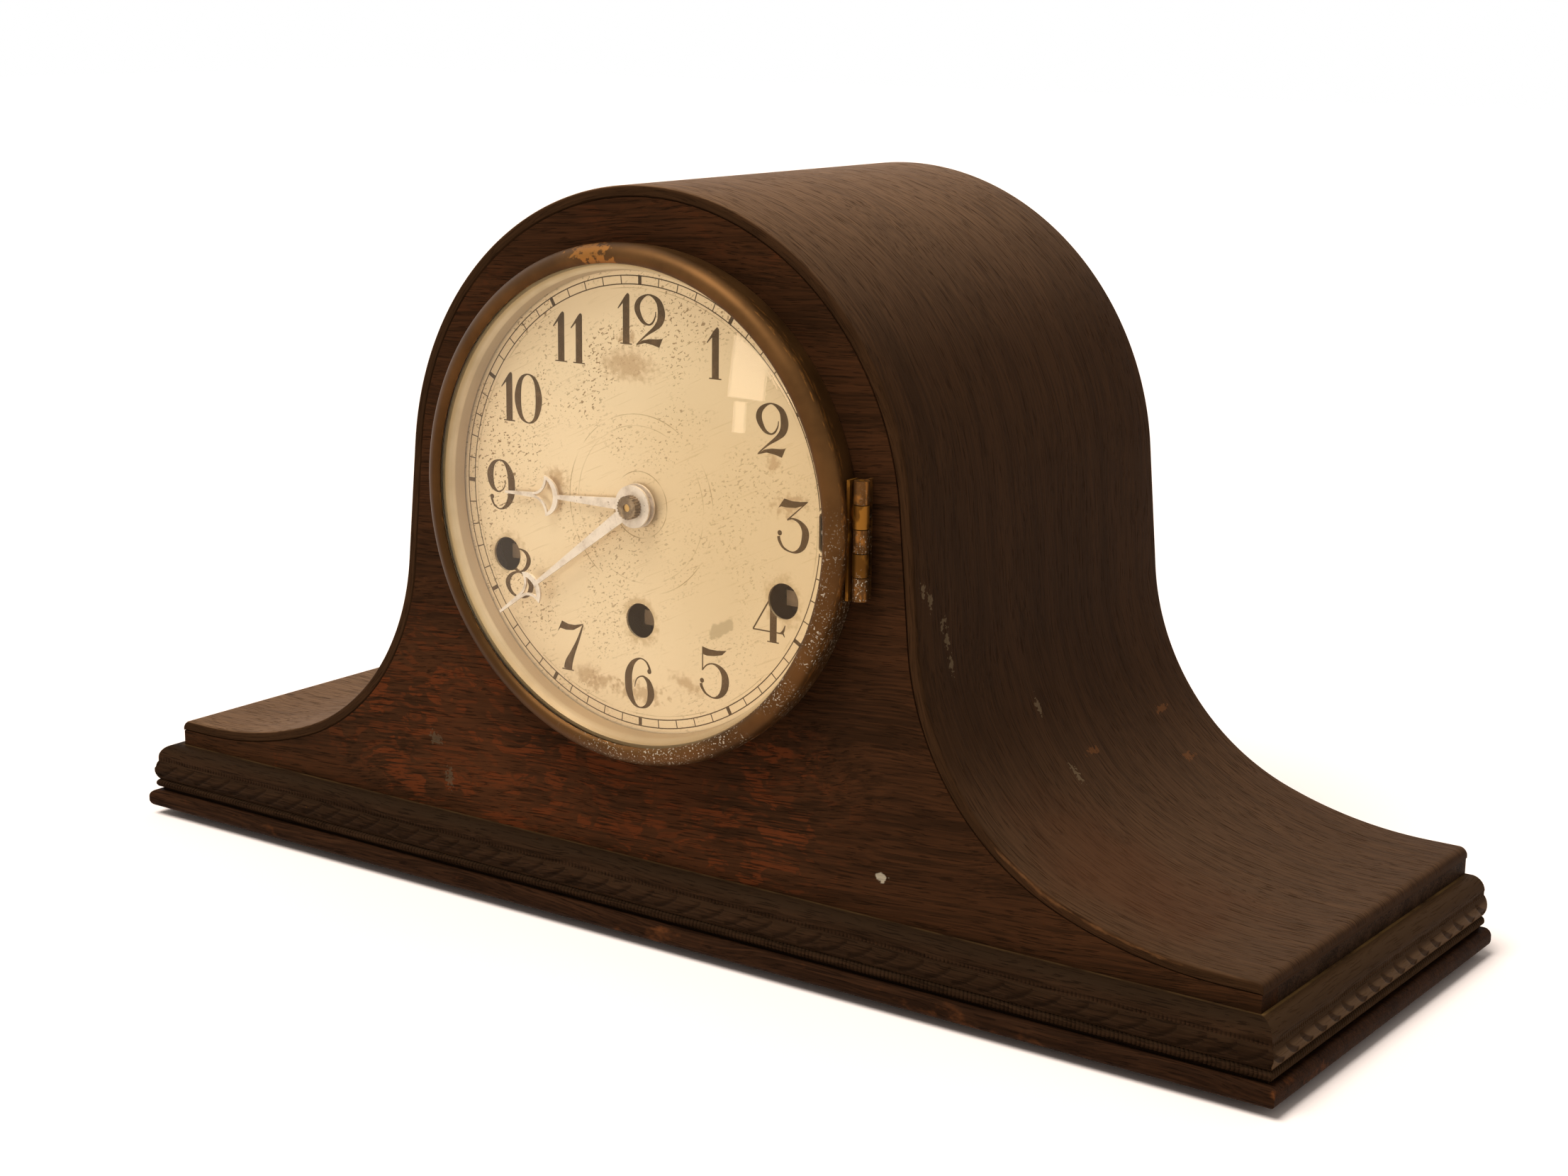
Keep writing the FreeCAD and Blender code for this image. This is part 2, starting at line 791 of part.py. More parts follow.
case_leaf = leaf_slot
for k in range(0, hinge_knuckles, 2):
    low = hinge_low + k * hinge_step + hinge_knuckle_gap / 2
    neck = block((hinge_x - hinge_leaf_thickness / 2, hinge_x + hinge_leaf_thickness / 2), (hinge_y, front_y),
                 (low, low + hinge_step - hinge_knuckle_gap))
    case_leaf = case_leaf.fuse(neck).fuse(hinge_knuckle(k))
save("case_hinge_leaf", case_leaf.cut(hinge_bore).removeSplitter())

strap_back = hinge_y + hinge_leaf_thickness / 2
strap_front = strap_back - hinge_leaf_thickness
strap_inner = bezel_radius - hinge_leaf_depth
plate_outer = hinge_x - hinge_knuckle_radius - moving_gap
bezel_leaf = block((plate_outer - hinge_leaf_thickness, plate_outer),
                   (hinge_y - hinge_knuckle_radius, hinge_y + hinge_knuckle_radius),
                   (hinge_low, hinge_low + hinge_length))
for k in range(1, hinge_knuckles, 2):
    low = hinge_low + k * hinge_step + hinge_knuckle_gap / 2
    strap = block((strap_inner, hinge_x), (strap_front, strap_back),
                  (low, low + hinge_step - hinge_knuckle_gap))
    bezel_leaf = bezel_leaf.fuse(strap).fuse(hinge_knuckle(k))
save("bezel_hinge_leaf", bezel_leaf.cut(bezel_body).cut(hinge_bore).removeSplitter())
save("bezel_hinge_pin", post(hinge_pin_radius, hinge_x, hinge_y, hinge_low, hinge_low + hinge_length))

# Hands and the nut that holds them


def moon_hand(length, bow_back, cusp, cusp_half, vertex, hub, bore, reach, angle):
    """Hand with an open crescent, drawn to twelve and turned clockwise to its rest angle."""
    start = ahead(reach + hand_thickness)
    end = ahead(reach)
    bow_depth = cusp - bow_back
    bow_radius = (cusp_half ** 2 + bow_depth ** 2) / (2 * bow_depth)
    front_width = cusp_half - spear_half
    front_radius = (front_width ** 2 + (vertex - cusp) ** 2) / (2 * front_width)
    below_vertex = block((-cusp_half, cusp_half), (start, end), (dial_z, dial_z + vertex))

    def crescent(back, side):
        shape = shaft(bow_radius, (0.0, dial_z + back + bow_radius), start, end).common(below_vertex)
        for x in (-spear_half - front_radius, spear_half + front_radius):
            shape = shape.cut(shaft(front_radius + side, (x, dial_z + vertex), start, end))
        return shape

    bow = crescent(bow_back, 0.0).cut(crescent(bow_back + bow_width, cusp_web))
    neck = dial_z + bow_back + bow_width / 2
    arm = polygon([(-arm_root_half, dial_z), (arm_root_half, dial_z), (arm_neck_half, neck),
                   (-arm_neck_half, neck)], start, end)
    spear = polygon([(-spear_half, dial_z + vertex), (spear_half, dial_z + vertex),
                     (tip_half, dial_z + length), (-tip_half, dial_z + length)], start, end)
    hand = joined(shaft(hub, dial_centre, start, end), arm, bow, spear)
    hand = hand.cut(shaft(bore, dial_centre, start, end))
    hand.rotate(spot(0, 0, dial_z), BACK, angle)
    return hand


hour_pipe_bore = cannon_radius + running_gap
hour_pipe_radius = hour_pipe_bore + hour_pipe_wall
save("hour_hand", moon_hand(hour_length, hour_bow_back, hour_cusp, hour_cusp_half, hour_vertex, hour_hub,
                            hour_pipe_radius + fit_gap, hour_hand_reach, hour_angle))
save("minute_hand", moon_hand(minute_length, minute_bow_back, minute_cusp, minute_cusp_half, minute_vertex,
                              minute_hub, thread_radius + fit_gap, minute_hand_reach, minute_angle))

nut_start = minute_hand_reach + hand_thickness
nut_end = nut_start + nut_length
nut = shaft(nut_radius, dial_centre, ahead(nut_end), ahead(nut_start))
for k in range(nut_flutes):
    flute_place = polar(dial_centre, nut_radius, 2 * math.pi * k / nut_flutes)
    nut = nut.cut(shaft(nut_flute_radius, flute_place, ahead(nut_end), ahead(nut_start)))
save("hand_nut", nut.cut(shaft(thread_radius + fit_gap, dial_centre, ahead(nut_end), ahead(nut_start))))

# Teeth, wheels and arbors


def toothed(place, teeth, module, start, end, phase):
    """Toothed disc; phase is the angle of one tooth from +X towards +Z."""
    step = 2 * math.pi / teeth
    tip = module * (teeth / 2 + addendum)
    root = module * (teeth / 2 - dedendum)
    points = []
    for k in range(teeth):
        middle = phase + k * step
        points.append(polar(place, root, middle - root_half_share * step))
        points.append(polar(place, tip, middle - tip_half_share * step))
        points.append(polar(place, tip, middle + tip_half_share * step))
        points.append(polar(place, root, middle + root_half_share * step))
    return polygon(points, start, end)


def saw_toothed(place, teeth, radius, depth, start, end):
    """Disc with slanted teeth, as a ratchet or an escape wheel has."""
    step = 2 * math.pi / teeth
    points = []
    for k in range(teeth):
        points.append(polar(place, radius, k * step))
        points.append(polar(place, radius - depth, (k + saw_face_share) * step))
    return polygon(points, start, end)


def crossed(disc, place, radius, start, end):
    """Wheel with round windows cut between its rim and its hub."""
    for k in range(crossing_holes):
        window = polar(place, radius * crossing_share, 2 * math.pi * k / crossing_holes)
        disc = disc.cut(shaft(radius * crossing_size_share, window, start, end))
    return disc


def wheel(place, teeth, module, start, phase):
    end = start + wheel_thickness
    return crossed(toothed(place, teeth, module, start, end, phase), place, module * teeth / 2, start, end)


def pinion(place, leaves, module, start, end, phase):
    """Pinion a little wider than the wheel between start and end that it meets."""
    return toothed(place, leaves, module, start - pinion_margin, end + pinion_margin, phase)


def mesh_module(a, teeth_a, b, teeth_b):
    return 2 * math.dist(a, b) / (teeth_a + teeth_b)


def facing_phase(a, teeth_a, phase_a, b, teeth_b):
    """Phase of the disc at b whose gap faces a tooth of the disc at a."""
    centres = math.atan2(b[1] - a[1], b[0] - a[0])
    share = (centres - phase_a) * teeth_a / (2 * math.pi)
    return centres + math.pi - (0.5 - share) * 2 * math.pi / teeth_b


def train_arbor(place):
    """Arbor between the plates with its two pivots."""
    core = shaft(arbor_radius, place, inside_front + endshake, inside_back - endshake)
    return core.fuse(shaft(pivot_radius, place, plate_front, plate_back))


second_place = from_dial(second_at)
third_place = from_dial(third_at)
escape_place = from_dial(escape_at)
anchor_place = (escape_place[0], escape_place[1] + anchor_rise)
strike_wheel_place = from_dial(strike_at)
strike_fly_place = from_dial(strike_fly_at)
drum_place = from_dial(drum_at)
chime_fly_place = from_dial(chime_fly_at)
minute_place = from_dial(minute_wheel_at)
lever_place = from_dial(lever_stud_at)
hammer_place = from_dial(hammers_at)
great_start = inside(barrel_depth + barrel_length)
great_end = great_start + great_thickness
front_start = inside(front_wheel_depth)
front_end = front_start + wheel_thickness
first_tune = plate_back + tune_depth
last_tune = first_tune + (tune_count - 1) * tune_spacing

# Plates, pillars, lugs and screws

plate_outline = [(-plate_half_width, dial_z + plate_bottom), (plate_half_width, dial_z + plate_bottom),
                 (plate_half_width, dial_z + plate_shoulder), (plate_top_half, dial_z + plate_top),
                 (-plate_top_half, dial_z + plate_top), (-plate_half_width, dial_z + plate_shoulder)]
shared_pivots = (second_place, third_place, escape_place,
                 strike_wheel_place, strike_fly_place, chime_fly_place)


def drilled(plate, places, radius, gap, start, end):
    for place in places:
        plate = plate.cut(shaft(radius + gap, place, start, end))
    return plate


front_plate = polygon(plate_outline, plate_front, inside_front)
front_holes = (
    (shared_pivots + (anchor_place, drum_place), pivot_radius, running_gap),
    (winding_places, winding_arbor_radius, running_gap),
    ((dial_centre,), centre_arbor_radius, running_gap),
    (pillar_places, screw_radius, fit_gap),
    ([(side * lug_rivet_x, z) for side, z in lug_places], lug_rivet_radius, fit_gap),
)
for places, radius, gap in front_holes:
    front_plate = drilled(front_plate, places, radius, gap, plate_front, inside_front)
minute_stud_end = behind(hour_wheel_depth - pinion_margin - stud_end_gap)
lever_stud_end = behind(lever_depth - stud_end_gap)
front_plate = joined(front_plate, shaft(minute_stud_radius, minute_place, minute_stud_end, plate_front),
                     shaft(lever_stud_radius, lever_place, lever_stud_end, plate_front))
save("front_plate", front_plate)

back_plate = polygon(plate_outline, inside_back, plate_back)
back_holes = (
    (shared_pivots + (dial_centre,), pivot_radius, running_gap),
    (winding_places, winding_pivot_radius, running_gap),
    ((anchor_place,), anchor_arbor_radius, running_gap),
    ((drum_place,), arbor_radius, running_gap),
    (pillar_places, screw_radius, fit_gap),
)
for places, radius, gap in back_holes:
    back_plate = drilled(back_plate, places, radius, gap, inside_back, plate_back)
hammer_arbor_end = last_tune + hammer_width
back_plate = joined(back_plate, shaft(hammer_arbor_radius, hammer_place, plate_back, hammer_arbor_end))
save("back_plate", back_plate)

pillars = []
movement_screws = []
for place in pillar_places:
    pillar = shaft(pillar_radius, place, inside_front, inside_back)
    pillar = pillar.cut(shaft(screw_radius + fit_gap, place, inside_front, plate_front + screw_depth))
    pillars.append(pillar.cut(shaft(screw_radius + fit_gap, place, plate_back - screw_depth, inside_back)))
    front_head = shaft(screw_head_radius, place, plate_front - screw_head_height, plate_front)
    back_head = shaft(screw_head_radius, place, plate_back, plate_back + screw_head_height)
    front_stem = shaft(screw_radius, place, plate_front, plate_front + screw_depth)
    back_stem = shaft(screw_radius, place, plate_back - screw_depth, plate_back)
    movement_screws.append(joined(front_head, front_stem))
    movement_screws.append(joined(back_head, back_stem))
save("plate_pillars", *pillars)

lugs = []
for side, z in lug_places:
    near = plate_half_width - lug_overlap
    lug = block(sorted((side * near, side * (near + lug_length))), (behind(panel_thickness), plate_front),
                (z - lug_height / 2, z + lug_height / 2))
    screw_place = (side * lug_screw_x, z)
    lug = lug.cut(shaft(screw_radius + fit_gap, screw_place, behind(panel_thickness), plate_front))
    lugs.append(joined(lug, shaft(lug_rivet_radius, (side * lug_rivet_x, z), plate_front, inside_front)))
    lug_head = shaft(screw_head_radius, screw_place, plate_front, plate_front + screw_head_height)
    lug_stem = shaft(screw_radius, screw_place, plate_front - screw_depth, plate_front)
    movement_screws.append(joined(lug_head, lug_stem))
save("mounting_lugs", *lugs)
save("movement_screws", *movement_screws)

# Barrels and winding arbors


def barrel(place, module):
    start = inside(barrel_depth)
    body = joined(shaft(barrel_drum_radius, place, start, great_start),
                  toothed(place, great_teeth, module, great_start, great_end, 0.0))
    spring_room = shaft(barrel_drum_radius - barrel_wall, place,
                        start + barrel_wall, great_start - barrel_wall)
    body = body.cut(spring_room)
    return body.cut(shaft(winding_arbor_radius + running_gap, place, start, great_end))


def winder(place):
    """Winding arbor: key square, ratchet in front of the plate, round body and back pivot."""
    ratchet_end = plate_front - ratchet_gap
    ratchet_start = ratchet_end - ratchet_thickness
    half = winding_square / 2
    return joined(
        block((place[0] - half, place[0] + half), (behind(winding_tip_depth), ratchet_start),
              (place[1] - half, place[1] + half)),
        saw_toothed(place, ratchet_teeth, ratchet_radius, ratchet_tooth_depth, ratchet_start, ratchet_end),
        shaft(winding_arbor_radius, place, ratchet_start, inside_back - endshake),
        shaft(winding_pivot_radius, place, inside_back - endshake, plate_back),
    )


going_module = mesh_module(going_place, great_teeth, second_place, second_leaves)
strike_module = mesh_module(strike_place, great_teeth, strike_wheel_place, second_leaves)
chime_module = mesh_module(chime_place, great_teeth, drum_place, second_leaves)
save("going_barrel", barrel(going_place, going_module))
save("strike_barrel", barrel(strike_place, strike_module))
save("chime_barrel", barrel(chime_place, chime_module))
save("going_winder", winder(going_place))
save("strike_winder", winder(strike_place))
save("chime_winder", winder(chime_place))

# Going train

second_start = inside(second_wheel_depth)
second_end = second_start + wheel_thickness
second_module = mesh_module(second_place, second_teeth, dial_centre, centre_leaves)
second_phase = facing_phase(going_place, great_teeth, 0.0, second_place, second_leaves)
save("second_wheel", joined(
    train_arbor(second_place),
    pinion(second_place, second_leaves, going_module, great_start, great_end, second_phase),
    wheel(second_place, second_teeth, second_module, second_start, 0.0),
))

centre_module = mesh_module(dial_centre, centre_teeth, third_place, third_leaves)
centre_phase = facing_phase(second_place, second_teeth, 0.0, dial_centre, centre_leaves)
save("centre_wheel", joined(
    shaft(thread_radius, dial_centre, ahead(nut_end - stud_end_gap), ahead(minute_hand_reach)),
    shaft(centre_arbor_radius, dial_centre, ahead(minute_hand_reach), inside_back - endshake),
    shaft(pivot_radius, dial_centre, inside_back - endshake, plate_back),
    pinion(dial_centre, centre_leaves, second_module, second_start, second_end, centre_phase),
    wheel(dial_centre, centre_teeth, centre_module, front_start, 0.0),
))

third_start = inside(third_wheel_depth)
third_end = third_start + wheel_thickness
third_module = mesh_module(third_place, third_teeth, escape_place, escape_leaves)
third_phase = facing_phase(dial_centre, centre_teeth, 0.0, third_place, third_leaves)
save("third_wheel", joined(
    train_arbor(third_place),
    pinion(third_place, third_leaves, centre_module, front_start, front_end, third_phase),
    wheel(third_place, third_teeth, third_module, third_start, 0.0),
))

escape_start = inside(escape_wheel_depth)
escape_end = escape_start + wheel_thickness
escape_phase = facing_phase(third_place, third_teeth, 0.0, escape_place, escape_leaves)
escape_disc = saw_toothed(escape_place, escape_teeth, escape_radius, escape_tooth_depth,
                          escape_start, escape_end)
save("escape_wheel", joined(
    train_arbor(escape_place),
    pinion(escape_place, escape_leaves, third_module, third_start, third_end, escape_phase),
    crossed(escape_disc, escape_place, escape_radius, escape_start, escape_end),
))

# Motion work behind the dial

cannon_module = mesh_module(dial_centre, cannon_leaves, minute_place, minute_teeth)
hour_module = mesh_module(minute_place, minute_leaves, dial_centre, hour_teeth)
minute_start = behind(minute_wheel_depth)
minute_end = minute_start + wheel_thickness
hour_start = behind(hour_wheel_depth)
hour_end = hour_start + wheel_thickness
cannon_end = plate_front - stud_end_gap
cannon = joined(shaft(cannon_radius, dial_centre, ahead(minute_hand_reach), cannon_end),
                pinion(dial_centre, cannon_leaves, cannon_module, minute_start, minute_end, 0.0))
save("cannon_pinion", cannon.cut(shaft(centre_arbor_radius + fit_gap, dial_centre, ahead(minute_hand_reach),
                                       cannon_end)))

minute_phase = facing_phase(dial_centre, cannon_leaves, 0.0, minute_place, minute_teeth)
minute_wheel = joined(
    wheel(minute_place, minute_teeth, cannon_module, minute_start, minute_phase),
    toothed(minute_place, minute_leaves, hour_module, hour_start - pinion_margin, minute_start, 0.0),
)
save("minute_wheel", minute_wheel.cut(shaft(minute_stud_radius + running_gap, minute_place,
                                            hour_start - pinion_margin, minute_end)))

hour_phase = facing_phase(minute_place, minute_leaves, 0.0, dial_centre, hour_teeth)
hour_pipe_end = ahead(hour_hand_reach + hand_thickness)
hour_wheel = joined(wheel(dial_centre, hour_teeth, hour_module, hour_start, hour_phase),
                    shaft(hour_pipe_radius, dial_centre, hour_pipe_end, hour_end))
save("hour_wheel", hour_wheel.cut(shaft(hour_pipe_bore, dial_centre, hour_pipe_end, hour_end)))

# Anchor with its crutch, suspension and pendulum

anchor_x, anchor_z = anchor_place
crutch_start = plate_back + crutch_gap
crutch_end = crutch_start + crutch_thickness
pendulum_y = plate_back + pendulum_depth
anchor_start = escape_start - pinion_margin
anchor_end = escape_end + pinion_margin
pallet_inner = escape_radius + anchor_clearance
pallet_outer = pallet_inner + anchor_width
right_turn = math.pi / 2 - anchor_half_spread
left_turn = math.pi / 2 + anchor_half_spread
pallets = sheet(
    anchor_start, anchor_end, polar(escape_place, pallet_inner, right_turn),
    polar(escape_place, pallet_outer, right_turn),
    (polar(escape_place, pallet_outer, math.pi / 2), polar(escape_place, pallet_outer, left_turn)),
    polar(escape_place, pallet_inner, left_turn),
    (polar(escape_place, pallet_inner, math.pi / 2), polar(escape_place, pallet_inner, right_turn)),
)
fork_inner = pendulum_rod_radius + crutch_fork_gap
fork_outer = fork_inner + crutch_fork_width
fork_end = pendulum_y + pendulum_rod_radius + crutch_fork_gap
crutch_z = anchor_z - crutch_length
fork_z = (crutch_z - crutch_fork_height / 2, crutch_z + crutch_fork_height / 2)
save("pallet_anchor", joined(
    shaft(pivot_radius, anchor_place, plate_front, inside_front + endshake),
    shaft(anchor_arbor_radius, anchor_place, inside_front + endshake, crutch_end),
    shaft(anchor_hub_radius, anchor_place, anchor_start, anchor_end),
    pallets,
    shaft(anchor_hub_radius, anchor_place, crutch_start, crutch_end),
    bar(anchor_place, (anchor_x, crutch_z), crutch_half_width, crutch_start, crutch_end),
    block((anchor_x - fork_outer, anchor_x + fork_outer), (crutch_start, crutch_end), fork_z),
    block((anchor_x - fork_outer, anchor_x - fork_inner), (crutch_start, fork_end), fork_z),
    block((anchor_x + fork_inner, anchor_x + fork_outer), (crutch_start, fork_end), fork_z),
))

eye_start = pendulum_y - pendulum_eye_width / 2
eye_end = pendulum_y + pendulum_eye_width / 2
cock_arm_start = eye_end + cock_arm_gap
cock_arm_end = cock_arm_start + cock_arm_thickness
cock_low = anchor_z + cock_rise
save("suspension_cock", joined(
    block((anchor_x - cock_half_width, anchor_x + cock_half_width), (plate_back, cock_arm_end),
          (cock_low, cock_low + cock_height)),
    block((anchor_x - cock_arm_half_width, anchor_x + cock_arm_half_width), (cock_arm_start, cock_arm_end),
          (anchor_z - cock_arm_half_width, cock_low)),
    shaft(cock_pin_radius, anchor_place, eye_start, cock_arm_start),
))

bob_z = anchor_z - pendulum_length
nut_top = bob_z - bob_radius
nut_bottom = nut_top - rating_nut_height
rod_bore = pendulum_rod_radius + fit_gap
eye = joined(shaft(pendulum_eye_radius, anchor_place, eye_start, eye_end),
             post(pendulum_rod_radius, anchor_x, pendulum_y, nut_bottom - rod_tail,
                  anchor_z - cock_pin_radius))
save("pendulum_rod", eye.cut(shaft(cock_pin_radius + running_gap, anchor_place, eye_start, eye_end)))

bob = shaft(bob_radius, (anchor_x, bob_z), pendulum_y - bob_thickness / 2, pendulum_y + bob_thickness / 2)
bob = bob.makeFillet(bob_round, [edge for edge in bob.Edges if edge.Length > bob_radius * math.pi])
save("pendulum_bob", bob.cut(post(rod_bore, anchor_x, pendulum_y, nut_top, bob_z + bob_radius)))
rating_nut = post(rating_nut_radius, anchor_x, pendulum_y, nut_bottom, nut_top)
save("rating_nut", rating_nut.cut(post(rod_bore, anchor_x, pendulum_y, nut_bottom, nut_top)))

# Striking train and chiming train, each with its fly


def hammer_train(place, module, barrel_place, fly_place):
    """Pinion driven by a barrel and the wheel in front of it that drives the fly."""
    fly_module = mesh_module(place, strike_teeth, fly_place, fly_leaves)
    phase = facing_phase(barrel_place, great_teeth, 0.0, place, second_leaves)
    return joined(pinion(place, second_leaves, module, great_start, great_end, phase),
                  wheel(place, strike_teeth, fly_module, front_start, 0.0))


def fly(place, wheel_place):
    """Fly: a fan on the last arbor, which slows its train."""
    fly_module = mesh_module(wheel_place, strike_teeth, place, fly_leaves)
    phase = facing_phase(wheel_place, strike_teeth, 0.0, place, fly_leaves)
    fan = block((place[0] - fly_half_width, place[0] + fly_half_width), (inside(fly_start), inside(fly_end)),
                (place[1] - fly_thickness / 2, place[1] + fly_thickness / 2))
    leaves = pinion(place, fly_leaves, fly_module, front_start, front_end, phase)
    return joined(train_arbor(place), fan, leaves)


save("strike_wheel", joined(train_arbor(strike_wheel_place),
                            hammer_train(strike_wheel_place, strike_module, strike_place, strike_fly_place)))
save("strike_fly", fly(strike_fly_place, strike_wheel_place))
save("chime_fly", fly(chime_fly_place, drum_place))

drum = joined(shaft(drum_radius, drum_place, first_tune - drum_end, last_tune + drum_end),
              shaft(arbor_radius, drum_place, inside_front + endshake, first_tune),
              shaft(pivot_radius, drum_place, plate_front, inside_front + endshake),
              hammer_train(drum_place, chime_module, chime_place, chime_fly_place))
drum_pin_list = []
for tune in range(tune_count):
    for k in range(drum_pins):
        turn = 2 * math.pi * (k + tune / tune_count) / drum_pins
        foot = spot(drum_place[0], first_tune + tune * tune_spacing, drum_place[1])
        direction = spot(math.cos(turn), 0, math.sin(turn))
        pin = Part.makeCylinder(drum_pin_radius, drum_radius + drum_pin_length, foot, direction)
        drum_pin_list.append(pin)
save("chime_drum", joined(drum, *drum_pin_list))

# Chime and silent lever behind its slot in the dial

lever_end = behind(lever_depth) + lever_thickness
lever_tip = (slot_distance, lever_place[1])
lever = joined(
    shaft(lever_hub_radius, lever_place, behind(lever_depth), lever_end),
    bar(lever_place, lever_tip, lever_half_width, behind(lever_depth), lever_end),
    shaft(lever_half_width, lever_tip, behind(lever_depth), lever_end),
    shaft(lever_pin_radius, lever_tip, dial_face + lever_tip_drop, lever_end),
)
lever_bore = shaft(lever_stud_radius + running_gap, lever_place, behind(lever_depth), lever_end)
save("silent_lever", lever.cut(lever_bore))

# Hammers, chime rods and their block

head_place = polar(hammer_place, hammer_arm_length, hammer_arm_lean - math.pi / 2)
head_bottom = head_place[1] - hammer_head_length / 2
rod_z = head_bottom - rod_strike_gap - rod_radius
tail_turn = math.atan2(drum_place[1] - hammer_place[1], drum_place[0] - hammer_place[0])
tail_length = math.dist(hammer_place, drum_place) - drum_radius - drum_pin_length - hammer_tail_gap
tail_place = polar(hammer_place, tail_length, tail_turn)
for tune in range(tune_count):
    middle = first_tune + tune * tune_spacing
    arm_start = middle - hammer_arm_half
    arm_end = middle + hammer_arm_half
    head = post(hammer_head_radius, head_place[0], middle, head_bottom, head_bottom + hammer_head_length)
    hammer = joined(
        shaft(hammer_hub_radius, hammer_place, middle - hammer_width / 2, middle + hammer_width / 2),
        bar(hammer_place, head_place, hammer_arm_half, arm_start, arm_end),
        bar(hammer_place, tail_place, hammer_arm_half, arm_start, arm_end),
        head,
    )
    bore = shaft(hammer_arbor_radius + running_gap, hammer_place, middle - hammer_width / 2,
                 middle + hammer_width / 2)
    save("chime_hammer_%d" % (tune + 1), hammer.cut(bore))

block_x = head_place[0] + block_clear
rod_ends = (block_x + rod_socket - rod_length, block_x + rod_socket)
rod_block = block((block_x, block_x + block_width), (first_tune - block_margin, last_tune + block_margin),
                  (base_top, rod_z + block_above_rods))
rods = []
for tune in range(tune_count):
    rod_y = first_tune + tune * tune_spacing
    rod_start = spot(rod_ends[0], rod_y, rod_z)
    along_x = spot(1, 0, 0)
    rod_block = rod_block.cut(Part.makeCylinder(rod_radius + fit_gap, rod_socket, spot(block_x, rod_y, rod_z),
                                                along_x))
    rods.append(Part.makeCylinder(rod_radius, rod_length, rod_start, along_x))
save("rod_block", rod_block)
save("chime_rods", *rods)
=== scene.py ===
import json
import math

import bmesh
import bpy
from mathutils import Matrix, Vector
from mathutils.geometry import delaunay_2d_cdt


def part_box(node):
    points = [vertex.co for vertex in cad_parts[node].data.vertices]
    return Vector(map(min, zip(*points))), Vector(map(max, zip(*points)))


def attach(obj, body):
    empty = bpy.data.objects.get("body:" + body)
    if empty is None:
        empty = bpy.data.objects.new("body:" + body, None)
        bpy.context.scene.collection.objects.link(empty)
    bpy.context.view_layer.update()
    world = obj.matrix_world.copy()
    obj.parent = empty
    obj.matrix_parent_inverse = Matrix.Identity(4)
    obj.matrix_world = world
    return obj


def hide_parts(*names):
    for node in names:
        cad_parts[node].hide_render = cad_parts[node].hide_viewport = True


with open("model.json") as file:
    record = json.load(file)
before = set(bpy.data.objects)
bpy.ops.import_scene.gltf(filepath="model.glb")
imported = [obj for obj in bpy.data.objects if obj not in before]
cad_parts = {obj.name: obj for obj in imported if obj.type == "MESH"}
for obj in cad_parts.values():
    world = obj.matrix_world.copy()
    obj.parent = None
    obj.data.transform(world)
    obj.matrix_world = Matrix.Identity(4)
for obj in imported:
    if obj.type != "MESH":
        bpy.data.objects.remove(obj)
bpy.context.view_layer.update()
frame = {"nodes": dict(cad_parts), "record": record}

# Stage and camera
# A pale floor under an even white sky, with one broad lamp high on the left and a small window
# in front, which the glass mirrors. The camera stands where the photograph was taken from.
mm = 0.001
scene = bpy.context.scene
scene.view_settings.view_transform = "Standard"


def feed(value, socket):
    """Links another node's output to a socket, or sets the socket to a plain value."""
    if isinstance(value, bpy.types.NodeSocket):
        socket.id_data.links.new(value, socket)
    elif socket.type == "RGBA":
        socket.default_value = (*value, 1.0)
    else:
        socket.default_value = value


def add_node(tree, kind, sockets=(), **settings):
    """Adds a node with its properties set and its sockets set or linked."""
    made = tree.nodes.new(kind)
    for label, value in settings.items():
        setattr(made, label, value)
    for label, value in dict(sockets).items():
        feed(value, made.inputs[label])
    return made


def tree_of(*values):
    """Node tree of the first value that is another node's output."""
    return next(value.id_data for value in values if isinstance(value, bpy.types.NodeSocket))


def maths(operation, first, second=0.0, clamp=False):
    made = add_node(tree_of(first, second), "ShaderNodeMath", {0: first, 1: second},
                    operation=operation, use_clamp=clamp)
    return made.outputs[0]


def plus(first, *others):
    for other in others:
        first = maths("ADD", first, other)
    return first


def times(first, *others):
    for other in others:
        first = maths("MULTIPLY", first, other)
    return first


def most(first, second):
    return maths("MAXIMUM", first, second)


def mixed(share, first, second):
    """The first colour where the share is 0, the second where it is 1."""
    made = add_node(share.id_data, "ShaderNodeMix", {0: share, 6: first, 7: second}, data_type="RGBA")
    return made.outputs[2]


def placed(name, data):
    """New object in the scene."""
    made = bpy.data.objects.new(name, data)
    scene.collection.objects.link(made)
    return made


def seen_directly(tree):
    """1 for rays that show a surface to the eye, also in metal and through glass."""
    path = add_node(tree, "ShaderNodeLightPath").outputs
    return most(path["Is Camera Ray"], most(path["Is Glossy Ray"], path["Is Transmission Ray"]))


sky_white = (1.0, 1.0, 1.0)
sky_level = 0.3
world = bpy.data.worlds.new("studio_sky")
scene.world = world
world.use_nodes = True
tree = world.node_tree
tree.nodes.clear()
sky_shown = plus(times(seen_directly(tree), 1.0 - sky_level), sky_level)
sky = add_node(tree, "ShaderNodeBackground", {"Color": sky_white, "Strength": sky_shown})
add_node(tree, "ShaderNodeOutputWorld", {"Surface": sky.outputs[0]})

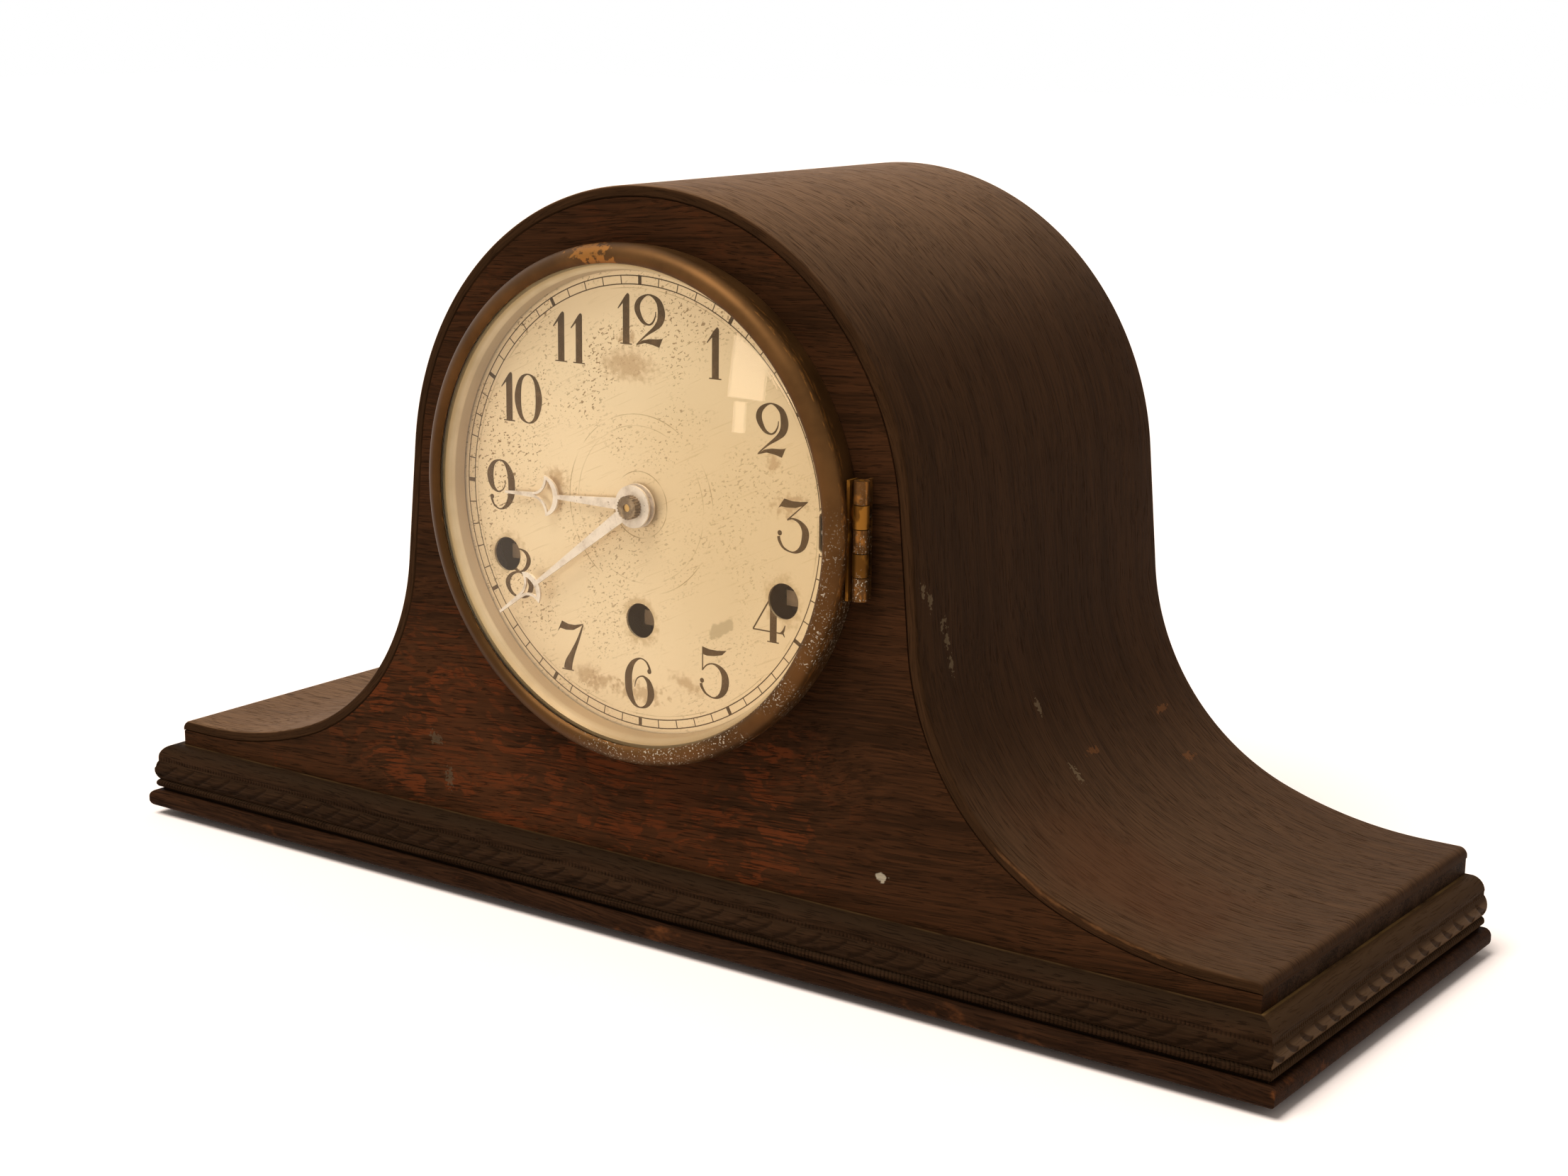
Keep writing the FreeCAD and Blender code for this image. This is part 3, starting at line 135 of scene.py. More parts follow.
floor_half = 6.0
floor_white = (0.91, 0.905, 0.9)
floor_shown = (1.24, 1.07, 0.96)
floor_corners = [(x * floor_half, y * floor_half, 0.0) for x, y in ((-1, -1), (1, -1), (1, 1), (-1, 1))]
floor_mesh = bpy.data.meshes.new("studio_floor")
floor_mesh.from_pydata(floor_corners, [], [(0, 1, 2, 3)])
floor = placed("studio_floor", floor_mesh)
paint = bpy.data.materials.new("floor_paint")
paint.use_nodes = True
tree = paint.node_tree
tree.nodes.clear()
floor_tone = mixed(seen_directly(tree), floor_white, floor_shown)
matt = add_node(tree, "ShaderNodeBsdfDiffuse", {"Color": floor_tone})
add_node(tree, "ShaderNodeOutputMaterial", {"Surface": matt.outputs[0]})
floor_mesh.materials.append(paint)

lamp_level = 2.8
lamp_spread = math.radians(32)
lamp_from = Vector((-0.12, -0.42, 0.9))
lamp = bpy.data.lights.new("broad_lamp", "SUN")
lamp.energy = lamp_level
lamp.angle = lamp_spread
placed("broad_lamp", lamp).rotation_euler = lamp_from.to_track_quat("Z", "Y").to_euler()
window_level = 7.0
window_panes = (("window_pane", (-0.66, -1.93, 0.4), 0.165, 0.31),
                ("window_low_pane", (-0.69, -1.94, 0.172), 0.053, 0.12))
for name, middle, wide, tall in window_panes:
    pane = bpy.data.lights.new(name, "AREA")
    pane.shape = "RECTANGLE"
    pane.size = wide
    pane.size_y = tall
    pane.energy = window_level * math.pi * wide * tall
    pane_holder = placed(name, pane)
    pane_holder.location = middle
    pane_holder.rotation_euler = Vector((middle[0], middle[1], 0.0)).to_track_quat("Z", "Y").to_euler()

eye = Vector((0.4885, -0.67775, 0.2918))
yaw = math.radians(35.482)
pitch = math.radians(12.892)
roll = math.radians(0.628)
sensor_wide = 36.0
lens_length = 60.56
nearest_seen = 0.01
forward = Vector((-math.sin(yaw) * math.cos(pitch), math.cos(yaw) * math.cos(pitch), -math.sin(pitch)))
level = Vector((math.cos(yaw), math.sin(yaw), 0.0))
right = math.cos(roll) * level + math.sin(roll) * level.cross(forward)
up = right.cross(forward)
camera_data = bpy.data.cameras.new("photo_view")
camera_data.sensor_fit = "HORIZONTAL"
camera_data.sensor_width = sensor_wide
camera_data.lens = lens_length
camera_data.clip_start = nearest_seen
camera = placed("photo_view", camera_data)
camera.matrix_world = Matrix((right, up, -forward)).transposed().to_4x4()
camera.matrix_world.translation = eye
scene.camera = camera

# Base board and feet
# A thin oak board with a rounded front and ends, on four small turned feet. The stain has
# rubbed through to red wood along its nose.
nodes = frame["nodes"]
base_low, base_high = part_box("base_board")
nose_depth = 5 * mm
pore_depth = 0.1 * mm
oak_shine = 0.01
oak_shine_tint = (1.0, 0.66, 0.42)
red_fleck = (0.104, 0.0255, 0.0074)


def ramp(value, low, high):
    """Smooth step from 0 at low to 1 at high."""
    made = add_node(value.id_data, "ShaderNodeMapRange", {"Value": value, "From Min": low, "From Max": high},
                    interpolation_type="SMOOTHSTEP")
    return made.outputs["Result"]


def minus(first, second):
    return maths("SUBTRACT", first, second)


def laid(under, colour, *shares):
    """Lays a colour over another by the product of masks and shares."""
    return mixed(times(*shares), under, colour)


def vectors(operation, first, second):
    made = add_node(first.id_data, "ShaderNodeVectorMath", {0: first, 1: second}, operation=operation)
    return made.outputs[0]


def vector(x=0.0, y=0.0, z=0.0):
    return add_node(tree_of(x, y, z), "ShaderNodeCombineXYZ", {"X": x, "Y": y, "Z": z}).outputs[0]


def split(place):
    """The three coordinates of a place."""
    return add_node(place.id_data, "ShaderNodeSeparateXYZ", {0: place}).outputs[:]


def tilted(place, angle):
    """Place turned about the front-to-back axis, for patterns that run at an angle."""
    made = add_node(place.id_data, "ShaderNodeMapping", {"Vector": place, "Rotation": (0.0, angle, 0.0)})
    return made.outputs[0]


def noise(place, per_metre, detail=2.0, rough=0.5):
    """Noise from 0 to 1; features per metre are one number, or one for each axis."""
    along_axes = per_metre if isinstance(per_metre, tuple) else (per_metre, per_metre, per_metre)
    scaled = vectors("MULTIPLY", place, along_axes)
    made = add_node(place.id_data, "ShaderNodeTexNoise",
                    {"Vector": scaled, "Scale": 1.0, "Detail": detail, "Roughness": rough})
    return made.outputs[0]


def node_group(kind, name, inputs, outputs):
    """Empty node group with named sockets, and its input and output sockets."""
    made = bpy.data.node_groups.new(name, kind)
    for way, sockets in (("INPUT", inputs), ("OUTPUT", outputs)):
        for label, holds in sockets.items():
            made.interface.new_socket(label, in_out=way, socket_type="NodeSocket" + holds)
    return made, made.nodes.new("NodeGroupInput").outputs, made.nodes.new("NodeGroupOutput").inputs


oak_figure, given, put = node_group(
    "ShaderNodeTree", "oak_figure",
    {"Place": "Vector", "Dark": "Color", "Light": "Color", "Pore": "Color", "Fleck": "Color",
     "Fleck Share": "Float", "Bare": "Color", "Worn": "Float", "Fade And Light Colour": "Color", "Fade": "Float",
     "Dirt": "Float"},
    {"Colour": "Color", "Roughness": "Float", "Height": "Float"})
place = given["Place"]
sway = times(minus(noise(place, (9, 26, 26)), 0.5), 14 * mm)
swayed = vectors("ADD", place, vector(y=sway, z=sway))
fibre = noise(swayed, (30, 1250, 1250), 4.0, 0.62)
band = noise(swayed, (5, 110, 110))
pore = ramp(noise(swayed, (110, 2100, 2100)), 0.57, 0.66)
tone = plus(times(fibre, 0.6), times(band, 0.4))
wood = mixed(ramp(tone, 0.38, 0.64), given["Dark"], given["Light"])
cloud = noise(place, (14, 20, 20), 3.0)
streaks = plus(times(fibre, 1.8), 0.05)
# Second tone where its mask lies: painted light on upward faces of the wrap and the moulding, a thinner stain
# on the front.
wood = laid(wood, given["Fade And Light Colour"], given["Fade"], plus(times(cloud, 0.5), 0.7), streaks)
curl = add_node(oak_figure, "ShaderNodeTexNoise", {"Vector": place, "Scale": 40.0, "Detail": 2.0})
swirl = vectors("MULTIPLY", vectors("SUBTRACT", curl.outputs["Color"], (0.5, 0.5, 0.5)), (0.03, 0.03, 0.02))
swirled = vectors("ADD", place, swirl)
flakes = noise(swirled, (52, 135, 135), 4.0, 0.56)
rays = ramp(plus(flakes, times(given["Fleck Share"], 0.05)), 0.575, 0.62)
flames = times(ramp(noise(swirled, (20, 330, 330)), 0.5, 0.6), 0.55)
fleck_area = ramp(given["Fleck Share"], 0.0, 0.5)
wood = laid(wood, given["Fleck"], most(rays, flames), fleck_area, ramp(fibre, 0.42, 0.52))
wood = laid(wood, given["Pore"], pore, 0.6)
ragged = minus(noise(place, (110, 190, 190), 3.0, 0.65), 0.5)
wood = mixed(ramp(plus(given["Worn"], ragged), 0.5, 0.8), wood, given["Bare"])
feed(mixed(given["Dirt"], wood, given["Pore"]), put["Colour"])
feed(plus(times(fibre, 0.2), 0.38, times(pore, 0.2)), put["Roughness"])
feed(minus(times(fibre, 0.5), pore), put["Height"])


def new_material(name):
    """Material with one Principled shader, that shader, and the place on the object."""
    made = bpy.data.materials.new(name)
    made.use_nodes = True
    place = add_node(made.node_tree, "ShaderNodeTexCoord").outputs["Object"]
    return made, made.node_tree.nodes["Principled BSDF"], place


def bump(shader, height, depth):
    made = add_node(height.id_data, "ShaderNodeBump", {"Height": height, "Strength": 1.0, "Distance": depth})
    feed(made.outputs[0], shader.inputs["Normal"])


def coat(shader, colour, rough, metallic=0.0, shine=0.5):
    """Sets what a shader needs: colour and roughness may vary, the other two are plain."""
    feed(colour, shader.inputs["Base Color"])
    feed(rough, shader.inputs["Roughness"])
    shader.inputs["Metallic"].default_value = metallic
    shader.inputs["Specular IOR Level"].default_value = shine


def oak(name, dark, light, pore, bare, faded=(0.1, 0.06, 0.036), turn=0.0, along="Object", **masks):
    """Stained oak; fleck, worn, fade and dirt are functions that make masks from a place. The fade mask lays a
    second tone: a thinner stain on the front, and painted light on the wrap's and the moulding's tops.
    """
    made, shader, place = new_material(name)
    sockets = {"Place": tilted(place.node.outputs[along], turn), "Dark": dark, "Light": light, "Pore": pore,
               "Fleck": red_fleck, "Bare": bare, "Fade And Light Colour": faded}
    for word, label in (("fleck", "Fleck Share"), ("worn", "Worn"), ("fade", "Fade"), ("dirt", "Dirt")):
        sockets[label] = masks[word](place) if word in masks else 0.0
    figure = add_node(made.node_tree, "ShaderNodeGroup", sockets, node_tree=oak_figure).outputs
    coat(shader, figure["Colour"], figure["Roughness"], shine=oak_shine)
    feed(oak_shine_tint, shader.inputs["Specular Tint"])
    bump(shader, figure["Height"], pore_depth)
    return made


def base_nose(place):
    """Worn in drifts along the board's rounded front and ends."""
    x, y = split(place)[:2]
    ends = ramp(maths("ABSOLUTE", x), base_high.x - nose_depth, base_high.x)
    front = ramp(y, base_low.y + nose_depth, base_low.y)
    drift = ramp(noise(place, (24, 24, 60)), 0.36, 0.68)
    return times(most(ends, times(front, 0.8)), drift, 0.8)


def dress(material, *names):
    """Gives CAD nodes a finish in their material slots."""
    for name in names:
        for holder in nodes[name].material_slots:
            holder.material = material


base_oak = oak("base_oak", dark=(0.017, 0.0072, 0.0035), light=(0.042, 0.0168, 0.0073),
               pore=(0.007, 0.0034, 0.002), bare=(0.1, 0.032, 0.01), worn=base_nose)
foot_oak = oak("foot_wood", dark=(0.012, 0.007, 0.004), light=(0.035, 0.017, 0.009),
               pore=(0.005, 0.003, 0.002), bare=(0.08, 0.03, 0.012))
dress(base_oak, "base_board")
dress(foot_oak, "base_feet")

# Plinth moulding
# Three lengths of oak moulding, mitred at the front corners and glued to the case above the
# base. A cutter ran the profile, and leaves and notches were then pressed into band and beads.
front_low, front_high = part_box("plinth_moulding_front")
side_low, side_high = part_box("plinth_moulding_right")
case_front = front_high.y
case_back = side_high.y
end_x = side_low.x
moulding_bottom = front_low.z
moulding_top = front_high.z
groove_reach = 5.7 * mm
groove_height = 1.0 * mm
bead_reach = 7.5 * mm
bead_height = 2.9 * mm
quirk_reach = 6.5 * mm
band_reach = case_front - front_low.y
band_height = 6.7 * mm
fillet_reach = 6.7 * mm
fillet_height = 0.8 * mm
ovolo_top_reach = 2.6 * mm
bead_base = moulding_bottom + groove_height
band_base = bead_base + bead_height
fillet_base = band_base + band_height
ovolo_base = fillet_base + fillet_height
bead_steps = 8
band_steps = 18
ovolo_steps = 8
sharp_angle = math.radians(35)


def arc_through(start, middle, end, steps):
    """Points after start on the circle through three points in a plane."""
    a, b, c = (Vector(point) for point in (start, middle, end))
    ab, ac = b - a, c - a
    cross = 2 * (ab.x * ac.y - ab.y * ac.x)
    centre = a + Vector((ac.y * ab.length_squared - ab.y * ac.length_squared,
                         ab.x * ac.length_squared - ac.x * ab.length_squared)) / cross
    first = math.atan2(a.y - centre.y, a.x - centre.x)
    turn = (math.atan2(c.y - centre.y, c.x - centre.x) - first) % (2 * math.pi)
    if cross <= 0:
        turn -= 2 * math.pi
    radius = (a - centre).length
    return [(centre.x + radius * math.cos(first + turn * k / steps),
             centre.y + radius * math.sin(first + turn * k / steps)) for k in range(1, steps + 1)]


plain, leaf_band, fine_bead, thread = 0.0, 1.0, 2.0, 3.0
ovolo_middle = (ovolo_top_reach + (fillet_reach - ovolo_top_reach) * math.cos(math.pi / 4),
                ovolo_base + (moulding_top - ovolo_base) * math.sin(math.pi / 4))
moulding_runs = [
    (plain, [(0.0, moulding_bottom), (groove_reach, moulding_bottom), (groove_reach, bead_base)]),
    (fine_bead, arc_through((groove_reach, bead_base), (bead_reach, bead_base + bead_height / 2),
                            (quirk_reach, band_base), bead_steps)),
    (leaf_band, arc_through((quirk_reach, band_base), (band_reach, band_base + band_height / 2),
                            (fillet_reach, fillet_base), band_steps)),
    (thread, [(fillet_reach, fillet_base + fillet_height * share) for share in (0.25, 0.5, 0.75, 1.0)]),
    (plain, arc_through((fillet_reach, ovolo_base), ovolo_middle, (ovolo_top_reach, moulding_top),
                        ovolo_steps)),
    (plain, [(0.0, moulding_top)]),
]
moulding_profile = [point for member, points in moulding_runs for point in points]
moulding_members = [member for member, points in moulding_runs for point in points]


def closed_mesh(name, shape):
    """Plain mesh of a worked shape, with its faces pointing outwards."""
    bmesh.ops.recalc_face_normals(shape, faces=shape.faces[:])
    mesh = bpy.data.meshes.new(name)
    shape.to_mesh(mesh)
    shape.free()
    return mesh


def grid_mesh(name, rows, lengths_along, lengths_round):
    """Closed tube through rows of points, with flat ends and a UV map in metres."""
    shape = bmesh.new()
    uv = shape.loops.layers.uv.new("UVMap")
    made = [[shape.verts.new(point) for point in row] for row in rows]
    count = len(rows[0])
    for i in range(len(rows) - 1):
        for j in range(count):
            k = (j + 1) % count
            face = shape.faces.new((made[i][j], made[i][k], made[i + 1][k], made[i + 1][j]))
            near, far = lengths_round[j], lengths_round[j + 1]
            corners = ((i, near), (i, far), (i + 1, far), (i + 1, near))
            for loop, (row, across) in zip(face.loops, corners):
                loop[uv].uv = (lengths_along[row], across)
    shape.faces.new(made[0])
    shape.faces.new(list(reversed(made[-1])))
    return closed_mesh(name, shape)


def running_lengths(points):
    """Distance from the first point to each point, and back round to the first."""
    total = [0.0]
    for k in range(len(points)):
        total.append(total[-1] + (Vector(points[(k + 1) % len(points)]) - Vector(points[k])).length)
    return total


def add_values(mesh, name, kind, values):
    layer = mesh.attributes.new(name, kind, "POINT")
    layer.data.foreach_set("vector" if kind == "FLOAT_VECTOR" else "value", values)


def moulding_mesh(name, rows, along, outward):
    """Plain moulding run with what the carving and the finish need stored on its points."""
    mesh = grid_mesh(name, rows, along, running_lengths(moulding_profile))
    rises = [(z - band_base) / band_height for reach, z in moulding_profile]
    reaches = [reach for reach, z in moulding_profile]
    add_values(mesh, "member", "FLOAT", moulding_members * len(rows))
    add_values(mesh, "rise", "FLOAT", rises * len(rows))
    add_values(mesh, "along", "FLOAT", [distance for distance in along for point in moulding_profile])
    add_values(mesh, "reach", "FLOAT", reaches * len(rows))
    add_values(mesh, "outward", "FLOAT_VECTOR", list(outward) * len(reaches) * len(rows))
    return mesh


def grown(name, mesh, tree, values):
    """Runs a geometry node tree on a mesh and returns the result as a plain mesh."""
    holder = placed(name, mesh)
    modifier = holder.modifiers.new("shape", "NODES")
    modifier.node_group = tree
    for item in tree.interface.items_tree:
        if item.in_out == "INPUT" and item.name in values:
            modifier[item.identifier] = values[item.name]
    ready = holder.evaluated_get(bpy.context.evaluated_depsgraph_get())
    made = bpy.data.meshes.new_from_object(ready)
    holder.modifiers.clear()
    bpy.data.objects.remove(holder)
    made.name = name
    return made


def end_tree(tree, shape, given, put):
    """Ends a geometry tree with real geometry that has its finish."""
    whole = add_node(tree, "GeometryNodeRealizeInstances", {0: shape})
    finished = add_node(tree, "GeometryNodeSetMaterial",
                        {"Geometry": whole.outputs[0], "Material": given["Finish"]})
    feed(finished.outputs[0], put["Geometry"])


carving, given, put = node_group(
    "GeometryNodeTree", "carved_moulding",
    {"Geometry": "Geometry", "Leaf Pitch": "Float", "Leaf Depth": "Float", "Notch Pitch": "Float",
     "Notch Depth": "Float", "Finish": "Material"},
    {"Geometry": "Geometry"})


def stored(label, kind="FLOAT"):
    """What the plain run keeps on its points under a name."""
    made = add_node(carving, "GeometryNodeInputNamedAttribute", {"Name": label}, data_type=kind)
    return made.outputs["Attribute"]


def is_member(value):
    """1 on the points of one member of the moulding."""
    return maths("LESS_THAN", maths("ABSOLUTE", minus(stored("member"), value)), 0.5)


step = maths("FRACT", maths("DIVIDE", stored("along"), given["Leaf Pitch"]))
crest = plus(times(maths("POWER", step, 1.7), 0.66), 0.14)
above = minus(stored("rise"), crest)
cut = times(ramp(above, -0.05, 0.05), ramp(above, 0.34, 0.05))
edges = times(ramp(stored("rise"), 1.0, 0.84), ramp(step, 0.0, 0.12))
leaf = times(cut, edges, is_member(leaf_band))
swing = times(maths("DIVIDE", stored("along"), given["Notch Pitch"]), math.pi)
notch = maths("POWER", minus(1.0, maths("ABSOLUTE", maths("SINE", swing))), 1.5)
notch = times(notch, plus(is_member(fine_bead), is_member(thread)))
depth = plus(times(leaf, given["Leaf Depth"]), times(notch, given["Notch Depth"]))
inward = add_node(carving, "ShaderNodeVectorMath",
                  {0: stored("outward", "FLOAT_VECTOR"), "Scale": times(depth, -1.0)}, operation="SCALE")
marked = add_node(carving, "GeometryNodeStoreNamedAttribute",
                  {"Geometry": given["Geometry"], "Name": "hollow", "Value": most(leaf, notch)},
                  data_type="FLOAT", domain="POINT")
carved = add_node(carving, "GeometryNodeSetPosition",
                  {"Geometry": marked.outputs[0], "Offset": inward.outputs[0]})
end_tree(carving, carved.outputs[0], given, put)


def painted(place, label, output="Fac"):
    """What a mesh carries on its points under a name."""
    return add_node(place.id_data, "ShaderNodeAttribute", attribute_name=label).outputs[output]


def facing_up(place, steepest=0.1):
    """1 on level tops, down to 0 on steep faces; the wrap and the moulding lay painted light on their tops by
    it.
    """
    normal = add_node(place.id_data, "ShaderNodeNewGeometry").outputs["Normal"]
    return ramp(split(normal)[2], steepest, 1.0)


def moulding_wear(place):
    """Rubbed in drifts along the thread and the carved band, where hands lift the clock."""
    z = split(place)[2]
    over = times(ramp(z, band_base, fillet_base), ramp(z, moulding_top, ovolo_base))
    return times(over, ramp(noise(place, 30), 0.45, 0.7), 0.5)


def moulding_dirt(place):
    """Old polish and dirt lie in the cuts and in the groove over the base."""
    groove = ramp(split(place)[2], bead_base + 0.6 * mm, bead_base)
    return times(most(times(painted(place, "hollow"), 0.6), groove), 0.75)


def opened(material):
    """A finished material's shader, its place, and the colour that reaches the shader."""
    parts = material.node_tree.nodes
    shader = parts["Principled BSDF"]
    place = next(part for part in parts if part.type == "TEX_COORD").outputs["Object"]
    return shader, place, shader.inputs["Base Color"].links[0].from_socket


# Upward faces take their own tone, which is painted light set to how the lamp falls on the moulding's tops.
moulding_oak = oak("moulding_oak", dark=(0.018, 0.0082, 0.0037), light=(0.04, 0.0185, 0.0085),
                   pore=(0.007, 0.0036, 0.002), bare=(0.085, 0.044, 0.02), faded=(0.024, 0.0126, 0.006),
                   along="UV", worn=moulding_wear, dirt=moulding_dirt, fade=facing_up)
painted_end_light = (0.066, 0.032, 0.0125)
dust = (0.12, 0.064, 0.021)
painted_leaf_highlight = (0.125, 0.066, 0.03)
shader, place, colour = opened(moulding_oak)
z = split(place)[2]
right_end = ramp(split(painted(place, "outward", "Vector"))[0], 0.4, 0.6)
# The right end is laid lighter: painted light on the end that faces away from the lamp.
colour = laid(colour, painted_end_light, right_end, 0.4)
dust_line = times(ramp(painted(place, "reach"), 1.5 * mm, 0.5 * mm),
                  ramp(z, moulding_top - 0.5 * mm, moulding_top - 0.1 * mm))
dust_gaps = ramp(noise(place, (60, 60, 200), 3.0, 0.6), 0.3, 0.6)
colour = laid(colour, dust, dust_line, plus(times(right_end, 0.65), 0.35), dust_gaps)
# Uncut leaf faces on the right end are laid pale: painted highlights on the leaf crests.
leaf_faces = times(ramp(z, band_base + 0.4 * mm, band_base + 1.2 * mm),
                   ramp(z, fillet_base - 0.8 * mm, fillet_base - 2.4 * mm))
uncut = ramp(painted(place, "hollow"), 0.35, 0.05)
feed(laid(colour, painted_leaf_highlight, leaf_faces, uncut, right_end, 0.7), shader.inputs["Base Color"])


def piece(name, mesh, material, body, slot, *stands_for):
    """Adds a finished mesh to the object, riding on a body in place of CAD nodes."""
    made = placed(name, mesh)
    if material not in list(mesh.materials):
        mesh.materials.clear()
        mesh.materials.append(material)
    mesh.shade_smooth()
    mesh.set_sharp_from_angle(angle=sharp_angle)
    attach(made, body)
    if stands_for:
        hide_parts(*stands_for)


carve_step = 0.26 * mm
mitre_reach = end_x + band_reach
carving_sizes = {"Leaf Pitch": 9.0 * mm, "Leaf Depth": 0.45 * mm, "Notch Pitch": 1.35 * mm,
                 "Notch Depth": 0.4 * mm, "Finish": moulding_oak}
front_count = round(2 * mitre_reach / carve_step)
front_along = [mitre_reach * (2 * k / front_count - 1) for k in range(front_count + 1)]
front_rows = [[(x * (end_x + reach) / mitre_reach, case_front - reach, z) for reach, z in moulding_profile]
              for x in front_along]
front_run = moulding_mesh("front_run", front_rows, front_along, (0, -1, 0))
piece("moulding_front", grown("moulding_front", front_run, carving, carving_sizes), moulding_oak, "case",
      "oak_moulding", "plinth_moulding_front")
side_length = case_back - case_front + band_reach
side_count = round(side_length / carve_step)
side_shares = [k / side_count for k in range(side_count + 1)]
for side, word in ((-1, "left"), (1, "right")):
    rows = [[(side * (end_x + reach), case_back + (case_front - reach - case_back) * share, z)
             for reach, z in moulding_profile] for share in side_shares]
    run = moulding_mesh("side_run", rows, [side_length * share for share in side_shares], (side, 0, 0))
    piece("moulding_" + word, grown("moulding_" + word, run, carving, carving_sizes), moulding_oak, "case",
          "oak_moulding", "plinth_moulding_" + word)

# Front panel, back panel and shoulder blocks
# The front is a quarter-sawn oak board whose silver grain took the stain as red flecks. The
# back is plainer board, and the blocks close the two ends under the wrap.
panel_low, panel_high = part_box("front_panel")
front_face = panel_low.y
grain_slope = math.radians(4)
flecked_at = (-35 * mm, 55 * mm)
flecked_half = (105 * mm, 45 * mm)
bare_chip = (0.42, 0.33, 0.22)
pale_scrape = (0.1, 0.066, 0.036)


def length(way):
    made = add_node(way.id_data, "ShaderNodeVectorMath", {0: way}, operation="LENGTH")
    return made.outputs["Value"]


def sized(x, y, z):
    """Size or place given in millimetres."""
    return Vector((x, y, z)) * mm


def on_front(x, z):
    """Point on the front board's face, given in millimetres."""
    return Vector((x * mm, front_face, z * mm))


ragged_spot, given, put = node_group(
    "ShaderNodeTree", "ragged_spot",
    {"Place": "Vector", "Inside": "Vector", "Grain": "Float", "Ragged": "Float", "Soft": "Float"},
    {"Mask": "Float"})
spot_edge = 0.9
tear = add_node(ragged_spot, "ShaderNodeTexNoise",
                {"Vector": given["Place"], "Scale": given["Grain"], "Detail": 4.0})
torn = times(minus(tear.outputs[0], 0.5), given["Ragged"])
reach = plus(length(given["Inside"]), torn)
feed(ramp(reach, plus(spot_edge, given["Soft"]), minus(spot_edge, given["Soft"])), put["Mask"])


def spot(place, middle, half_size, turn=0.0, grain=450.0, ragged=3.0, soft=0.15):
    """Mask of a torn patch, 1 inside, turned about the front-to-back axis."""
    inside = add_node(place.id_data, "ShaderNodeMapping", {
        "Vector": place, "Location": tuple(middle), "Rotation": (0.0, -turn, 0.0), "Scale": tuple(half_size)},
        vector_type="TEXTURE").outputs[0]
    sockets = {"Place": place, "Inside": inside, "Grain": grain, "Ragged": ragged, "Soft": soft}
    return add_node(place.id_data, "ShaderNodeGroup", sockets, node_tree=ragged_spot).outputs["Mask"]


def stain(material, colour, share, middles, half_size, **edge):
    """Lays spots of one colour and size over a material's colour."""
    shader, place, under = opened(material)
    for middle in middles:
        under = laid(under, colour, spot(place, middle, half_size, **edge), share)
    feed(under, shader.inputs["Base Color"])


def front_flecks(place):
    """Flecks show most in the lower left and under the dial, and in drifts elsewhere."""
    x, z = split(place)[::2]
    across = maths("DIVIDE", minus(x, flecked_at[0]), flecked_half[0])
    upward = maths("DIVIDE", minus(z, flecked_at[1]), flecked_half[1])
    near = ramp(length(vector(across, upward)), 1.3, 0.2)
    drift = times(ramp(noise(place, 14), 0.46, 0.66), ramp(x, 100 * mm, 20 * mm))
    return maths("ADD", near, times(drift, 0.3), True)


def front_red(place):
    """The stain lies thinner and redder round the flecks."""
    return times(front_flecks(place), ramp(noise(place, (22, 22, 34), 3.0, 0.6), 0.36, 0.66))


front_oak = oak("front_oak", dark=(0.025, 0.0104, 0.0043), light=(0.056, 0.0205, 0.0076),
                pore=(0.012, 0.0055, 0.0026), bare=(0.11, 0.06, 0.03), faded=(0.068, 0.022, 0.0076),
                turn=grain_slope, fleck=front_flecks, fade=front_red)
stain(front_oak, bare_chip, 0.9, [on_front(88, 38)], sized(2.2, 3, 1.5), ragged=2.0)
stain(front_oak, pale_scrape, 0.55, [on_front(-88, 49)], sized(2.2, 3, 2), ragged=4.5, grain=900.0)
stain(front_oak, pale_scrape, 0.55, [on_front(-82, 37)], sized(1.6, 3, 3), ragged=5.0, grain=1200.0)
back_oak = oak("back_oak", dark=(0.02, 0.01, 0.005), light=(0.06, 0.03, 0.016),
               pore=(0.008, 0.004, 0.002), bare=(0.1, 0.05, 0.02))
dress(front_oak, "front_panel")
dress(back_oak, "back_panel", "shoulder_blocks")

# Bent wrap
# One sheet of oak-faced board, bent over the top from shoulder to shoulder and glued to the
# edges of the front and back. Its grain runs round the hat, and its arrises are rubbed red.
wrap_low, wrap_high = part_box("case_wrap")
dial_low, dial_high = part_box("dial_plate")
dial_z = (dial_low.z + dial_high.z) / 2
wrap_thickness = wrap_high.z - panel_high.z
crown_radius = wrap_high.z - dial_z
half_width = wrap_high.x
shoulder_z = wrap_low.z + wrap_thickness
flank_lean = math.radians(5.3)
upper_sweep_radius = 77.3 * mm
lower_sweep_radius = 142.7 * mm
sweep_change = math.radians(250.3)
shoulder_flat = 12.3 * mm
nose_round = 2.4 * mm
arris = 0.9 * mm
rubbed_depth = arris * 1.01
seam = 0.6 * mm
rubbed_from = (105 * mm, 135 * mm)
rubbed_to = (205 * mm, 175 * mm)
nose_steps, flat_steps, lower_steps, upper_steps, flank_steps, crown_steps = 6, 4, 24, 44, 6, 56
arris_steps, depth_steps = 5, 12


def direction(angle):
    return Vector((math.cos(angle), math.sin(angle)))


def spaced(start, end, steps):
    """Values from start to end, without the end itself."""
    return [start + (end - start) * k / steps for k in range(steps)]


def bend(centre, outer_radius, inner_radius, start, end, steps):
    """Outer and inner points of the sheet round one bend."""
    return [(centre + outer_radius * direction(angle), centre + inner_radius * direction(angle))
            for angle in spaced(start, end, steps)]


